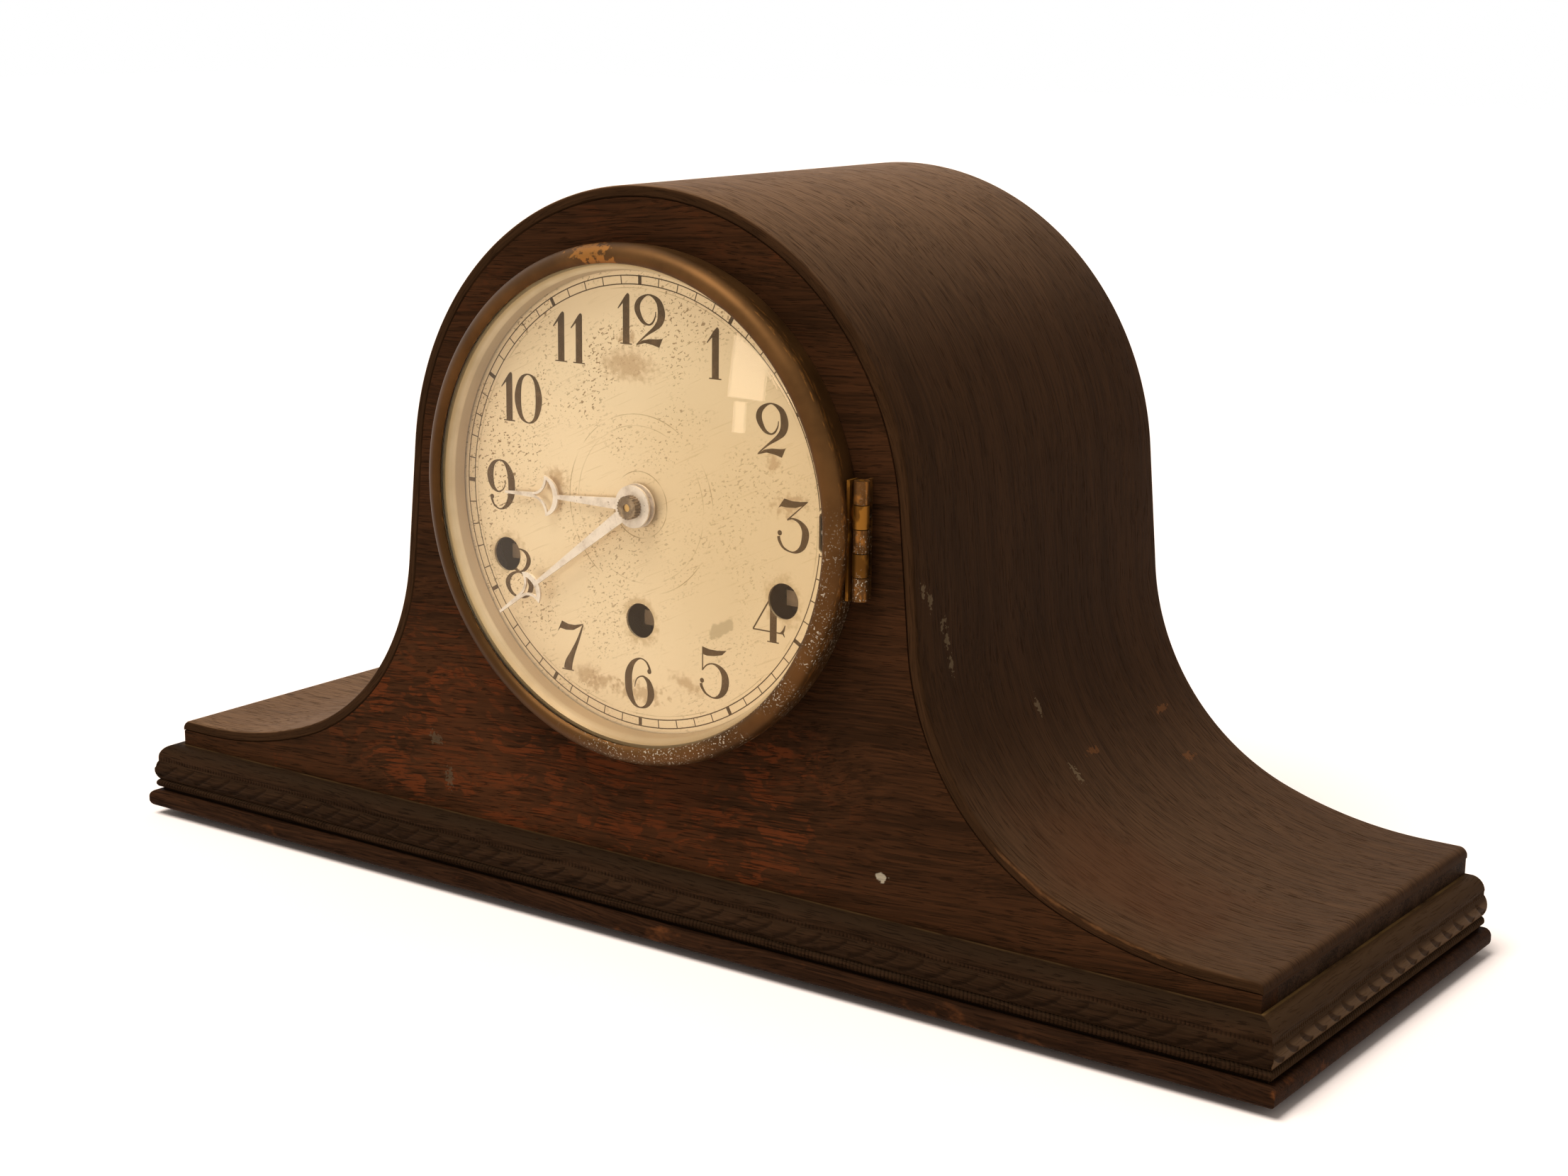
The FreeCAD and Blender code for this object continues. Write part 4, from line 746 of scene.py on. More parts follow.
lower_centre = Vector((half_width - shoulder_flat, shoulder_z + lower_sweep_radius))
upper_centre = lower_centre + (lower_sweep_radius - upper_sweep_radius) * direction(sweep_change)
crown_centre = Vector((0.0, dial_z))
nose_centre = Vector((half_width - nose_round, shoulder_z - nose_round))
flank_foot = upper_centre + upper_sweep_radius * direction(math.pi + flank_lean)
flank_head = crown_centre + crown_radius * direction(flank_lean)
half_hat = []
for angle in spaced(0.0, math.pi / 2, nose_steps):
    point = nose_centre + nose_round * direction(angle)
    half_hat.append((point, Vector((point.x, shoulder_z - wrap_thickness))))
for x in spaced(nose_centre.x, lower_centre.x, flat_steps):
    half_hat.append((Vector((x, shoulder_z)), Vector((x, shoulder_z - wrap_thickness))))
half_hat += bend(lower_centre, lower_sweep_radius, lower_sweep_radius + wrap_thickness,
                 1.5 * math.pi, sweep_change, lower_steps)
half_hat += bend(upper_centre, upper_sweep_radius, upper_sweep_radius + wrap_thickness,
                 sweep_change, math.pi + flank_lean, upper_steps)
for share in spaced(0.0, 1.0, flank_steps):
    point = flank_foot.lerp(flank_head, share)
    half_hat.append((point, point - wrap_thickness * direction(flank_lean)))
half_hat += bend(crown_centre, crown_radius, crown_radius - wrap_thickness,
                 flank_lean, math.pi / 2, crown_steps)
top = (crown_centre + Vector((0, crown_radius)), crown_centre + Vector((0, crown_radius - wrap_thickness)))
flip = Vector((-1, 1))
hat = half_hat + [top] + [(outer * flip, inner * flip) for outer, inner in reversed(half_hat)]

rounding = [(arris * (1 - math.sin(angle)), arris * (1 - math.cos(angle)))
            for angle in spaced(0.0, math.pi / 2, arris_steps)]
wrap_section = [(inner, wrap_low.y + outer) for inner, outer in rounding]
wrap_section += [(0.0, y) for y in spaced(wrap_low.y + arris, wrap_high.y - arris, depth_steps)]
wrap_section += [(outer, wrap_high.y - inner) for inner, outer in rounding]
wrap_section += [(arris, wrap_high.y), (wrap_thickness, wrap_high.y), (wrap_thickness, wrap_low.y + seam),
                 (wrap_thickness - seam, wrap_low.y)]
wrap_rows = []
for outer, inner in hat:
    points = [(outer.lerp(inner, depth / wrap_thickness), y) for depth, y in wrap_section]
    wrap_rows.append([(point.x, y, point.y) for point, y in points])
wrap_along = running_lengths([outer for outer, inner in hat])
wrap_mesh = grid_mesh("case_wrap_bent", wrap_rows, wrap_along, running_lengths(wrap_section))
edge_share = [max(0.0, 1 - min(y - wrap_low.y, wrap_high.y - y) / arris) if depth < rubbed_depth else 0.0
              for depth, y in wrap_section]
add_values(wrap_mesh, "rubbed", "FLOAT", edge_share * len(hat))


def wrap_wear(place):
    """The front arris is rubbed through along the right-hand sweep, and barely elsewhere."""
    x, y = split(place)[:2]
    sweep = times(ramp(x, *rubbed_from), ramp(x, *rubbed_to))
    front = ramp(y, 0.0, wrap_low.y)
    return times(painted(place, "rubbed"), plus(times(sweep, front, 0.5), 0.2))


def wrap_fade(place):
    """Paler on upward faces, most on the crown's left and less on the shoulders: partly real fading, partly
    painted sheen and painted light from the left.
    """
    x = split(place)[0]
    side = minus(ramp(x, 120 * mm, -40 * mm), times(ramp(x, -60 * mm, -150 * mm), 0.4))
    return times(facing_up(place, 0.43), plus(times(side, 0.7), 0.17))


# The paler tone on the wrap's upward faces is partly fading and partly painted sheen and painted light from
# the left.
wrap_oak = oak("wrap_oak", dark=(0.031, 0.0137, 0.0055), light=(0.05, 0.0217, 0.0087),
               pore=(0.022, 0.0097, 0.0041), bare=(0.12, 0.05, 0.018), faded=(0.28, 0.15, 0.075),
               along="UV", worn=wrap_wear, fade=wrap_fade)
warm_oak = (0.078, 0.026, 0.009)
tan_scuff = (0.19, 0.125, 0.065)
red_scratch = (0.17, 0.062, 0.02)
scuffs = ((97, -61, 124), (97, -57.5, 121), (98, -51, 113), (98.5, -49.5, 108), (99.5, -48.5, 101),
          (106, -9, 81), (119, -8, 62))
flank_scratches = ((115, 55, 67.5), (127, 51, 55), (117, 7, 65))
stain(wrap_oak, warm_oak, 0.45, [sized(151, -33, 42)], sized(34, 26, 26), ragged=1.6, grain=60.0, soft=0.7)
stain(wrap_oak, tan_scuff, 0.55, [sized(*middle) for middle in scuffs], sized(8, 1.1, 2.1),
      ragged=5.5, grain=900.0)
stain(wrap_oak, red_scratch, 0.55, [sized(*middle) for middle in flank_scratches], sized(6, 3.5, 0.9),
      ragged=4.0, grain=700.0)
piece("case_wrap_bent", wrap_mesh, wrap_oak, "case", "oak_wrap", "case_wrap")

# Dial plate
# A silvered brass disc screwed to the front board. Its lacquer has yellowed and spotted, and
# fingers and old tape have left marks on it.
dial_face = dial_low.y
winding_holes = ((-53.25, -22.2), (0.0, -35.9), (53.25, -22.2))
# Radius and strength of each circle that was scribed to lay out the dial.
scribed_circles = ((10.2, 0.85), (24.0, 0.4), (27.5, 0.7), (65.2, 0.45))
scratch_slope = math.radians(25)
tape_slope = math.radians(34)
pale_lacquer, yellow_lacquer, rim_lacquer = (0.79, 0.625, 0.4), (0.74, 0.57, 0.35), (0.76, 0.55, 0.31)
painted_dark_reflection = (0.52, 0.36, 0.17)
speck_brown = (0.2, 0.1, 0.03)
scratch_brown = (0.45, 0.3, 0.14)
scribed_brown = (0.3, 0.19, 0.08)
halo_brown = (0.42, 0.27, 0.12)
smudge_brown = (0.4, 0.235, 0.105)
tape_brown = (0.41, 0.3, 0.16)


def on_dial(x, z):
    """Point on the dial's face, given in millimetres from its centre."""
    return Vector((x * mm, dial_face, dial_z + z * mm))


def from_axis(place):
    """Place seen from the dial's centre, and its distance from the dial's axis."""
    centred = vectors("SUBTRACT", place, tuple(on_dial(0, 0)))
    return centred, length(vectors("MULTIPLY", centred, (1, 0, 1)))


def towards(centred, way):
    """How far a place lies along a direction."""
    made = add_node(centred.id_data, "ShaderNodeVectorMath", {0: centred, 1: way}, operation="DOT_PRODUCT")
    return made.outputs["Value"]


silver, shader, place = new_material("dial_silver")
centred, radius = from_axis(place)
cloud = noise(centred, 26, 3.0)
lacquer = mixed(cloud, pale_lacquer, yellow_lacquer)
# Yellower and a little darker towards the rim.
lacquer = laid(lacquer, rim_lacquer, ramp(radius, 40 * mm, 76 * mm), 0.3)
# A broad darker, warmer zone right of the hub is a painted reflection of a darker room.
right_of_hub = spot(place, on_dial(40, 2), sized(42, 60, 52), ragged=0.5, grain=30.0, soft=0.7)
lacquer = laid(lacquer, painted_dark_reflection, right_of_hub, 0.45)
upper_left = ramp(towards(centred, (-0.7, 0.0, 0.5)), -40 * mm, 45 * mm)
drift = times(ramp(noise(centred, 45), 0.4, 0.62), plus(times(upper_left, 0.6), 0.4))
slanted = tilted(centred, scratch_slope)
specks = ramp(noise(slanted, (540, 540, 1250)), 0.6, 0.64)
dots = ramp(noise(centred, 1050, 1.0), 0.65, 0.68)
lacquer = laid(lacquer, speck_brown, most(specks, dots), drift, 0.9)
fine_scratches = ramp(noise(slanted, (60, 60, 1800), 1.0), 0.64, 0.7)
lacquer = laid(lacquer, scratch_brown, fine_scratches, 0.24)
broken = ramp(noise(centred, 90), 0.4, 0.6)
for circle, share in scribed_circles:
    off_circle = maths("ABSOLUTE", minus(radius, circle * mm))
    lacquer = laid(lacquer, scribed_brown, ramp(off_circle, 0.2 * mm, 0.08 * mm), broken, share)
coat(shader, lacquer, plus(times(cloud, 0.2), 0.34), metallic=0.5, shine=0.15)
stain(silver, halo_brown, 0.55, [on_dial(*hole) for hole in winding_holes], sized(6.8, 6, 7.4),
      ragged=1.6, grain=500.0, soft=0.3)
# Each smudge has its middle, its half width and height, its turn and how torn its edge is.
smudges = [((-5, 42), (9, 4.3), 0.0, 2.2), ((-5, 50), (3.5, 2), 0.0, 3.5),
           ((-21.5, -56), (5, 2.6), 0.1, 2.5), ((-15, -57.5), (5, 2), 0.3, 3.5),
           ((18, -53), (5.5, 2), -0.35, 2.5), ((0, -58.5), (9, 2.2), 0.0, 4.5),
           ((-33, 3), (4, 4), 0.0, 3.0), ((49, 18), (2.2, 2.2), 0.0, 4.0), ((55, 6.5), (5, 3), 0.3, 4.0)]
for middle, (half_wide, half_tall), turn, ragged in smudges:
    stain(silver, smudge_brown, 0.6, [on_dial(*middle)], sized(half_wide, 5, half_tall),
          turn=turn, ragged=ragged, grain=600.0, soft=0.6)
stain(silver, tape_brown, 0.7, [on_dial(30.8, -33.8)], sized(6.2, 5, 2.3),
      turn=tape_slope, ragged=1.4, grain=500.0, soft=0.15)
dress(silver, "dial_plate")

# Dial numbers
# Upright numbers printed in dark brown ink that has worn a little. Each is drawn as pen strokes
# of changing width, and the winding holes were punched through the finished print.
ink_height = 0.03 * mm
fresh_ink = (0.094, 0.05, 0.019)
worn_ink = (0.16, 0.088, 0.037)
hour_circle = 55.8
hole_radius = 5.4
weld_gap = 1e-4
# How far the two digits of a number stand from the number's middle.
number_spread = {10: (-3.5, 4.4), 11: (-2.8, 4.2), 12: (-5.4, 3.4)}
ink, shader, place = new_material("dial_ink")
thin_ink = noise(place, 300, 4.0, 0.6)
ink_tone = mixed(ramp(thin_ink, 0.45, 0.8), fresh_ink, worn_ink)
coat(shader, ink_tone, plus(times(thin_ink, 0.3), 0.4), shine=0.05)
# Pen lines and loops are points of x, z and half width, and shapes are outlines of x and z.
loop_0 = [(0, 7.55, .2), (3.0, 5.6, .75), (4.25, 0, 1.3), (3.0, -5.6, .75),
          (0, -7.55, .2), (-3.0, -5.6, .75), (-4.25, 0, 1.3), (-3.0, 5.6, .75)]
loop_8_upper = [(.3, 7.9, .22), (2.9, 6.9, .6), (3.85, 4.6, .85), (2.6, 2.0, .6),
                (.2, .7, .3), (-2.2, 2.0, .7), (-3.3, 4.6, .95), (-2.3, 6.9, .6)]
loop_8_lower = [(0, .55, .3), (3.2, -.6, .95), (4.75, -3.3, 1.0), (3.4, -6.3, .7),
                (0, -7.6, .22), (-3.4, -6.3, .6), (-4.85, -3.3, .95), (-3.2, -.6, .55)]
curve_2 = [(2.55, 2.8, .14), (2.35, 1.2, .22), (1.3, -.55, .3), (-.3, -1.2, .28), (-2.6, -.1, .65),
           (-4.4, 3.2, 1.05), (-3.4, 6.0, .75), (0, 7.7, .22), (3.5, 6.0, .9), (4.7, 2.75, 1.35),
           (4.2, 0, 1.2), (2.35, -2.0, .75), (-.65, -4.1, .36), (-3.2, -6.1, .22), (-4.7, -7.4, .12)]
foot_2 = [(-4.9, -7.7), (-1.5, -6.75), (1.5, -7.1), (3.9, -7.7), (5.35, -4.6), (5.0, -4.95), (3.2, -5.25),
          (.25, -5.4), (-2.3, -5.95), (-3.9, -6.9)]
bowl_3 = [(-1.45, 2.2, .2), (.4, 2.8, .25), (2.9, 2.1, .55), (4.75, .2, 1.1), (5.05, -2.0, 1.25),
          (4.2, -4.9, 1.0), (2.4, -6.6, .55), (.2, -7.1, .22), (-2.6, -6.2, .35), (-4.1, -4.3, .5),
          (-4.45, -2.9, .5)]
bar_3 = [(-4.7, 5.4), (-3.6, 6.0), (-1.9, 5.85), (1.5, 6.1), (3.9, 6.9), (5.9, 8.45), (3.2, 8.05),
         (.2, 7.95), (-2.55, 8.4)]
bowl_5 = [(-4.1, .9, .2), (-2.35, 2.7, .22), (0, 3.3, .25), (2.4, 2.45, .65), (4.1, .6, 1.15),
          (4.5, -1.8, 1.35), (3.9, -4.4, 1.15), (2.2, -6.4, .6), (-.1, -7.15, .22), (-2.8, -6.2, .33),
          (-4.3, -4.4, .48), (-4.6, -3.3, .5)]
bar_5 = [(-4.15, 8.1), (-3.75, 5.75), (-2.35, 5.5), (.2, 5.75), (3.2, 6.5), (4.9, 8.1), (1.5, 7.6),
         (-1.5, 7.6)]
curve_6 = [(3.75, 5.0, .45), (2.5, 7.2, .3), (0, 8.1, .22), (-2.75, 6.5, .75), (-4.3, 3.6, 1.25),
           (-4.65, .6, 1.38), (-4.2, -3.2, 1.25), (-2.4, -6.4, .65), (0, -7.4, .22), (2.6, -6.3, .65),
           (4.0, -3.6, 1.22), (4.0, -1.2, 1.22), (3.2, 1.1, .85), (1.8, 2.35, .4), (.6, 2.6, .22),
           (-1.05, 1.8, .2), (-1.9, .3, .18), (-2.15, -1.2, .12)]
bar_7 = [(-5.0, 4.2), (-3.85, 5.5), (-1.5, 5.2), (1.5, 5.55), (4.4, 7.2), (5.6, 8.15), (1.9, 7.2),
         (-.65, 7.2), (-3.2, 7.9)]
stem_1 = [(-1.08, -7.4), (1.42, -7.4), (1.42, 7.0), (1.15, 7.5), (.75, 7.65), (.35, 7.4), (-1.08, 5.3)]
stem_4 = [(.23, -6.9), (2.67, -6.9), (2.67, 8.35), (1.65, 8.35), (.23, 6.0)]
stem_7 = [(5.3, 7.7, .25), (3.4, 2.9, .5), (1.2, -1.6, .9), (-.4, -5.0, 1.45), (-.85, -7.3, 1.65)]
digits = {
    "0": {"loops": [loop_0]},
    "1": {"shapes": [stem_1], "strokes": [[(.3, 6.9, .35), (-1.0, 5.15, .36), (-2.95, 2.85, .16)],
                                          [(-2.1, -7.5, .18), (2.4, -7.5, .18)]]},
    "2": {"shapes": [foot_2], "strokes": [curve_2]},
    "3": {"shapes": [bar_3], "strokes": [bowl_3, [(5.7, 8.3, .14), (-1.3, 2.3, .22)]],
          "balls": [(-4.05, -1.9, .78)]},
    "4": {"shapes": [stem_4], "strokes": [
        [(1.6, 8.2, .25), (-5.85, -4.0, .24)], [(-5.95, -4.0, .2), (5.2, -4.0, .2)],
        [(3.9, -3.95, .15), (5.0, -3.3, .4), (5.75, -1.35, .1)], [(5.0, -3.9, .3), (5.55, -4.95, .1)],
        [(-.7, -7.05, .17), (3.5, -7.05, .17)]]},
    "5": {"shapes": [bar_5], "strokes": [bowl_5, [(-4.05, 8.1, .2), (-4.05, .75, .22)]],
          "balls": [(-4.25, -2.4, .75)]},
    "6": {"strokes": [curve_6], "balls": [(3.5, 4.5, .78)]},
    "7": {"shapes": [bar_7], "strokes": [stem_7, [(-3.2, -7.4, .18), (1.5, -7.4, .18)]]},
    "8": {"loops": [loop_8_upper, loop_8_lower]},
}


def smooth_line(points, closed, steps=8):
    """Points (x, z, half width) along a smooth pen line through the given ones."""
    count = len(points)
    path = []
    for k in range(count if closed else count - 1):
        around = [(k + j) % count if closed else min(max(k + j, 0), count - 1) for j in (-1, 0, 1, 2)]
        a, b, c, d = (Vector(points[j]) for j in around)
        for t in spaced(0.0, 1.0, steps):
            path.append(b + (c - a) * t / 2 + (2 * a - 5 * b + 4 * c - d) * t * t / 2
                        + (3 * b - a - 3 * c + d) * t ** 3 / 2)
    path.append(Vector(points[0] if closed else points[-1]))
    return path


def stroke_faces(points, closed=False):
    """Four-cornered faces that follow a pen line of changing width."""
    path = smooth_line(points, closed)
    sides = []
    for k, point in enumerate(path):
        before = path[-2] if closed and k == 0 else path[max(k - 1, 0)]
        after = path[1] if closed and k == len(path) - 1 else path[min(k + 1, len(path) - 1)]
        way = (after - before).to_2d().normalized()
        across = Vector((-way.y, way.x)) * point.z
        sides.append((point.to_2d() + across, point.to_2d() - across))
    return [(b[0], a[0], a[1], b[1]) for a, b in zip(sides, sides[1:])]


def disc_face(x, z, radius, sides=36):
    return [Vector((x, z)) + radius * direction(2 * math.pi * k / sides) for k in range(sides)]


def digit_faces(digit, x, z):
    """Flat faces of one digit, with its middle at a place on the dial; a 9 is a 6 turned over."""
    shape = digits["6" if digit == "9" else digit]
    faces = [[Vector(point) for point in face] for face in shape.get("shapes", [])]
    faces += [face for line in shape.get("strokes", []) for face in stroke_faces(line)]
    faces += [face for line in shape.get("loops", []) for face in stroke_faces(line, True)]
    faces += [disc_face(*ball) for ball in shape.get("balls", [])]
    turn = -1 if digit == "9" else 1
    return [[turn * point + Vector((x, z)) for point in face] for face in faces]


def printed(name, inked, punched):
    """Thin ink solid on the dial: flat faces laid together, less the punched ones."""
    corners = []
    outlines = []
    for face in inked + punched:
        doubled_area = sum(a.x * b.y - b.x * a.y for a, b in zip(face, face[1:] + face[:1]))
        outlines.append(list(range(len(corners), len(corners) + len(face))))
        corners += face if doubled_area > 0 else list(reversed(face))
    joined = delaunay_2d_cdt(corners, [], outlines, 0, weld_gap)
    points, triangles, covered_by = joined[0], joined[2], joined[5]
    shape = bmesh.new()
    made = [shape.verts.new(on_dial(point.x, point.y)) for point in points]
    for triangle, sources in zip(triangles, covered_by):
        if sources and max(sources) < len(inked):
            shape.faces.new([made[k] for k in triangle])
    bmesh.ops.delete(shape, geom=[vert for vert in shape.verts if not vert.link_faces], context="VERTS")
    raised = bmesh.ops.extrude_face_region(shape, geom=shape.faces[:], use_keep_orig=True)["geom"]
    for part in raised:
        if isinstance(part, bmesh.types.BMVert):
            part.co.y -= ink_height
    return closed_mesh(name, shape)


holes = [disc_face(x, z, hole_radius) for x, z in winding_holes]
number_faces = []
for hour in range(1, 13):
    angle = math.radians(30 * hour)
    x, z = hour_circle * math.sin(angle), hour_circle * math.cos(angle)
    for digit, offset in zip(str(hour), number_spread.get(hour, (0.0,))):
        number_faces += digit_faces(digit, x + offset, z)
piece("dial_numbers", printed("dial_numbers", number_faces, holes), ink, "case", "dial_ink")

# Minute track
# Two thin printed circles with a line for each minute between them and a bold bar for each
# five. The track stops at the lever's slot beside the three.
track, given, put = node_group(
    "GeometryNodeTree", "minute_track",
    {"Geometry": "Geometry", "Inner Radius": "Float", "Outer Radius": "Float", "Line Width": "Float",
     "Bar Width": "Float", "Ink Height": "Float", "Slot Angle": "Float", "Centre": "Vector",
     "Finish": "Material"},
    {"Geometry": "Geometry"})
minutes_round = 60
slot_minute = 15
ring_points = 240
minute = add_node(track, "GeometryNodeInputIndex").outputs[0]
turned_by = times(minute, 2 * math.pi / minutes_round)
middle = times(plus(given["Inner Radius"], given["Outer Radius"]), 0.5)
mark_length = minus(given["Outer Radius"], given["Inner Radius"])
place = vector(times(maths("SINE", turned_by), middle), times(maths("COSINE", turned_by), middle))
spin = vector(z=times(turned_by, -1.0))
marks = add_node(track, "GeometryNodePoints", {"Count": minutes_round, "Position": place}).outputs[0]
five = maths("LESS_THAN", maths("MODULO", minute, 5.0), 0.5)
off_slot = maths("GREATER_THAN", maths("ABSOLUTE", minus(minute, slot_minute)), 0.5)
join = add_node(track, "GeometryNodeJoinGeometry")
for width, chosen in ((given["Line Width"], minus(1.0, five)), (given["Bar Width"], times(five, off_slot))):
    size = vector(width, mark_length, given["Ink Height"])
    bar = add_node(track, "GeometryNodeMeshCube", {"Size": size}).outputs["Mesh"]
    bars = add_node(track, "GeometryNodeInstanceOnPoints",
                    {"Points": marks, "Selection": chosen, "Instance": bar, "Rotation": spin})
    feed(bars.outputs[0], join.inputs[0])
sweep = minus(2 * math.pi, times(given["Slot Angle"], 2.0))
nib = add_node(track, "GeometryNodeCurvePrimitiveQuadrilateral",
               {"Width": given["Line Width"], "Height": given["Line Width"]}).outputs[0]
flat = vector(1.0, 1.0, maths("DIVIDE", given["Ink Height"], given["Line Width"]))
for ring_radius in (given["Inner Radius"], given["Outer Radius"]):
    ring = add_node(track, "GeometryNodeCurveArc", {"Resolution": ring_points, "Radius": ring_radius,
                                                    "Start Angle": given["Slot Angle"], "Sweep Angle": sweep})
    drawn = add_node(track, "GeometryNodeCurveToMesh",
                     {"Curve": ring.outputs[0], "Profile Curve": nib, "Fill Caps": True})
    pressed = add_node(track, "GeometryNodeTransform", {"Geometry": drawn.outputs[0], "Scale": flat})
    feed(pressed.outputs[0], join.inputs[0])
upright = add_node(track, "GeometryNodeTransform", {
    "Geometry": join.outputs[0], "Translation": given["Centre"], "Rotation": (math.pi / 2, 0.0, 0.0)})
end_tree(track, upright.outputs[0], given, put)
track_sizes = {"Inner Radius": 66.3 * mm, "Outer Radius": 68.9 * mm, "Line Width": 0.34 * mm,
               "Bar Width": 1.25 * mm, "Ink Height": ink_height, "Slot Angle": math.radians(5.4),
               "Centre": on_dial(0, 0), "Finish": ink}
blank = bpy.data.meshes.new("track_start")
piece("minute_track", grown("minute_track", blank, track, track_sizes), ink, "case", "dial_ink")

# Bezel and hinge
# A ring spun from sheet brass, rolled over at the lip and gone brown, with its lacquer rubbed
# to bare metal in places and pitted at the lower right. It swings on a butt hinge at three.
bezel_low, bezel_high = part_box("bezel_ring")
bezel_radius = (bezel_high.x - bezel_low.x) / 2
bezel_front = bezel_low.y
bezel_back = bezel_high.y
bulge_y = front_face - 7.0 * mm
back_radius = bezel_radius - 0.9 * mm
lip_radius = bezel_radius - 5.7 * mm
lip_crown_radius = lip_radius + 2.6 * mm
lip_y = bezel_front + 1.1 * mm
wall = 1.0 * mm
seat_radius = lip_radius + 0.5 * mm
seat_y = front_face - 10.5 * mm
inner_radius = back_radius - wall
side_middle = (bezel_radius - 0.3 * mm, (front_face + bulge_y) / 2)
lip_middle = (lip_radius + 0.91 * mm, bezel_front + 0.15 * mm)
shoulder_out, shoulder_forward = 0.78, 0.72
side_steps, shoulder_steps, lip_steps, inside_steps = 8, 14, 8, 10
pit_depth = 0.1 * mm
pit_pale = (0.5, 0.42, 0.31)
dark_brass = (0.036, 0.016, 0.0045)


def shoulder(radius, front):
    """Point that the bezel's rounded shoulder passes through."""
    return (lip_crown_radius + (radius - lip_crown_radius) * shoulder_out,
            bulge_y + (front - bulge_y) * shoulder_forward)


def turned(name, profile, sides=240):
    """Closed ring turned about the dial's axis from a profile of radius and depth."""
    shape = bmesh.new()
    rings = []
    for k in range(sides):
        angle = 2 * math.pi * k / sides
        rings.append([shape.verts.new((radius * math.cos(angle), y, dial_z + radius * math.sin(angle)))
                      for radius, y in profile])
    for k in range(sides):
        for j in range(len(profile)):
            after, beside = rings[(k + 1) % sides], (j + 1) % len(profile)
            shape.faces.new((rings[k][j], after[j], after[beside], rings[k][beside]))
    bmesh.ops.remove_doubles(shape, verts=shape.verts[:], dist=weld_gap * mm)
    return closed_mesh(name, shape)


bezel_profile = [(back_radius, bezel_back)]
bezel_profile += arc_through(bezel_profile[-1], side_middle, (bezel_radius, bulge_y), side_steps)
bezel_profile += arc_through(bezel_profile[-1], shoulder(bezel_radius, bezel_front),
                             (lip_crown_radius, bezel_front), shoulder_steps)
bezel_profile += arc_through(bezel_profile[-1], lip_middle, (lip_radius, lip_y), lip_steps)
bezel_profile += [(seat_radius, seat_y), (seat_radius + wall, seat_y), (lip_radius + wall, lip_y + wall / 2),
                  (lip_crown_radius, bezel_front + wall)]
bezel_profile += arc_through(bezel_profile[-1], shoulder(inner_radius, bezel_front + wall),
                             (inner_radius, bulge_y), inside_steps)
bezel_profile.append((inner_radius, bezel_back))


def brass_finish(name, brown, gold, bare_and_glint_share, pit_share, rough):
    """Brass gone brown, with pale pits where it has corroded. Gold lies where it is rubbed bare, and along the
    bezel's lip it is partly a painted reflection.
    """
    made, shader, place = new_material(name)
    cloud = noise(place, 45, 4.0, 0.6)
    streak = noise(place, (240, 900, 240), 3.0, 0.6)
    skin = mixed(ramp(cloud, 0.3, 0.7), brown, tuple(1.7 * part for part in brown))
    torn = times(minus(streak, 0.5), 1.6)
    skin = mixed(ramp(plus(bare_and_glint_share(place), torn), 0.45, 0.85), skin, gold)
    pits = times(ramp(noise(place, 1500), 0.6, 0.66), pit_share(place))
    coat(shader, mixed(pits, skin, pit_pale), plus(times(cloud, 0.2), rough), metallic=0.8, shine=0.1)
    bump(shader, minus(times(streak, 0.15), pits), pit_depth)
    return made


def bezel_bare(place):
    """Gold along the lip, partly rubbed bare and partly a painted reflection of its inner wall; rubbed along
    the outer edge, and through in a patch left of twelve.
    """
    radius = from_axis(place)[1]
    lip = ramp(radius, lip_radius + 0.5 * mm, lip_radius)
    outer = times(ramp(radius, bezel_radius - 0.3 * mm, bezel_radius),
                  ramp(split(place)[0], -10 * mm, 60 * mm))
    patch = spot(place, on_dial(-10, 75.5), sized(10.5, 30, 4), turn=math.radians(-8), grain=420.0,
                 ragged=2.6, soft=0.4)
    return most(times(most(lip, outer), 0.5), patch)


def bezel_pits(place):
    """Corrosion gathers from three o'clock round to the bottom."""
    low_right = ramp(towards(from_axis(place)[0], (0.62, 0.0, -0.78)), 35 * mm, 70 * mm)
    return times(low_right, ramp(noise(place, 80), 0.36, 0.55))


def hinge_bare(place):
    return ramp(noise(place, (160, 160, 120)), 0.35, 0.6)


def hinge_pits(place):
    return ramp(noise(place, 120), 0.55, 0.75)


bezel_brass = brass_finish("bezel_brass", (0.068, 0.03, 0.0088), (0.27, 0.108, 0.023),
                           bezel_bare, bezel_pits, 0.38)
hinge_brass = brass_finish("hinge_brass", (0.085, 0.034, 0.005), (0.25, 0.105, 0.015),
                           hinge_bare, hinge_pits, 0.36)
# The lower left is laid darker.
stain(bezel_brass, dark_brass, 0.6, [on_dial(-58, -40)], sized(42, 60, 56), ragged=0.5, grain=30.0, soft=0.6)
piece("bezel_spun", turned("bezel_spun", bezel_profile), bezel_brass, "bezel", "bezel_brass", "bezel_ring")
dress(bezel_brass, "case_hinge_leaf")
dress(hinge_brass, "bezel_tab", "bezel_hinge_leaf", "bezel_hinge_pin")

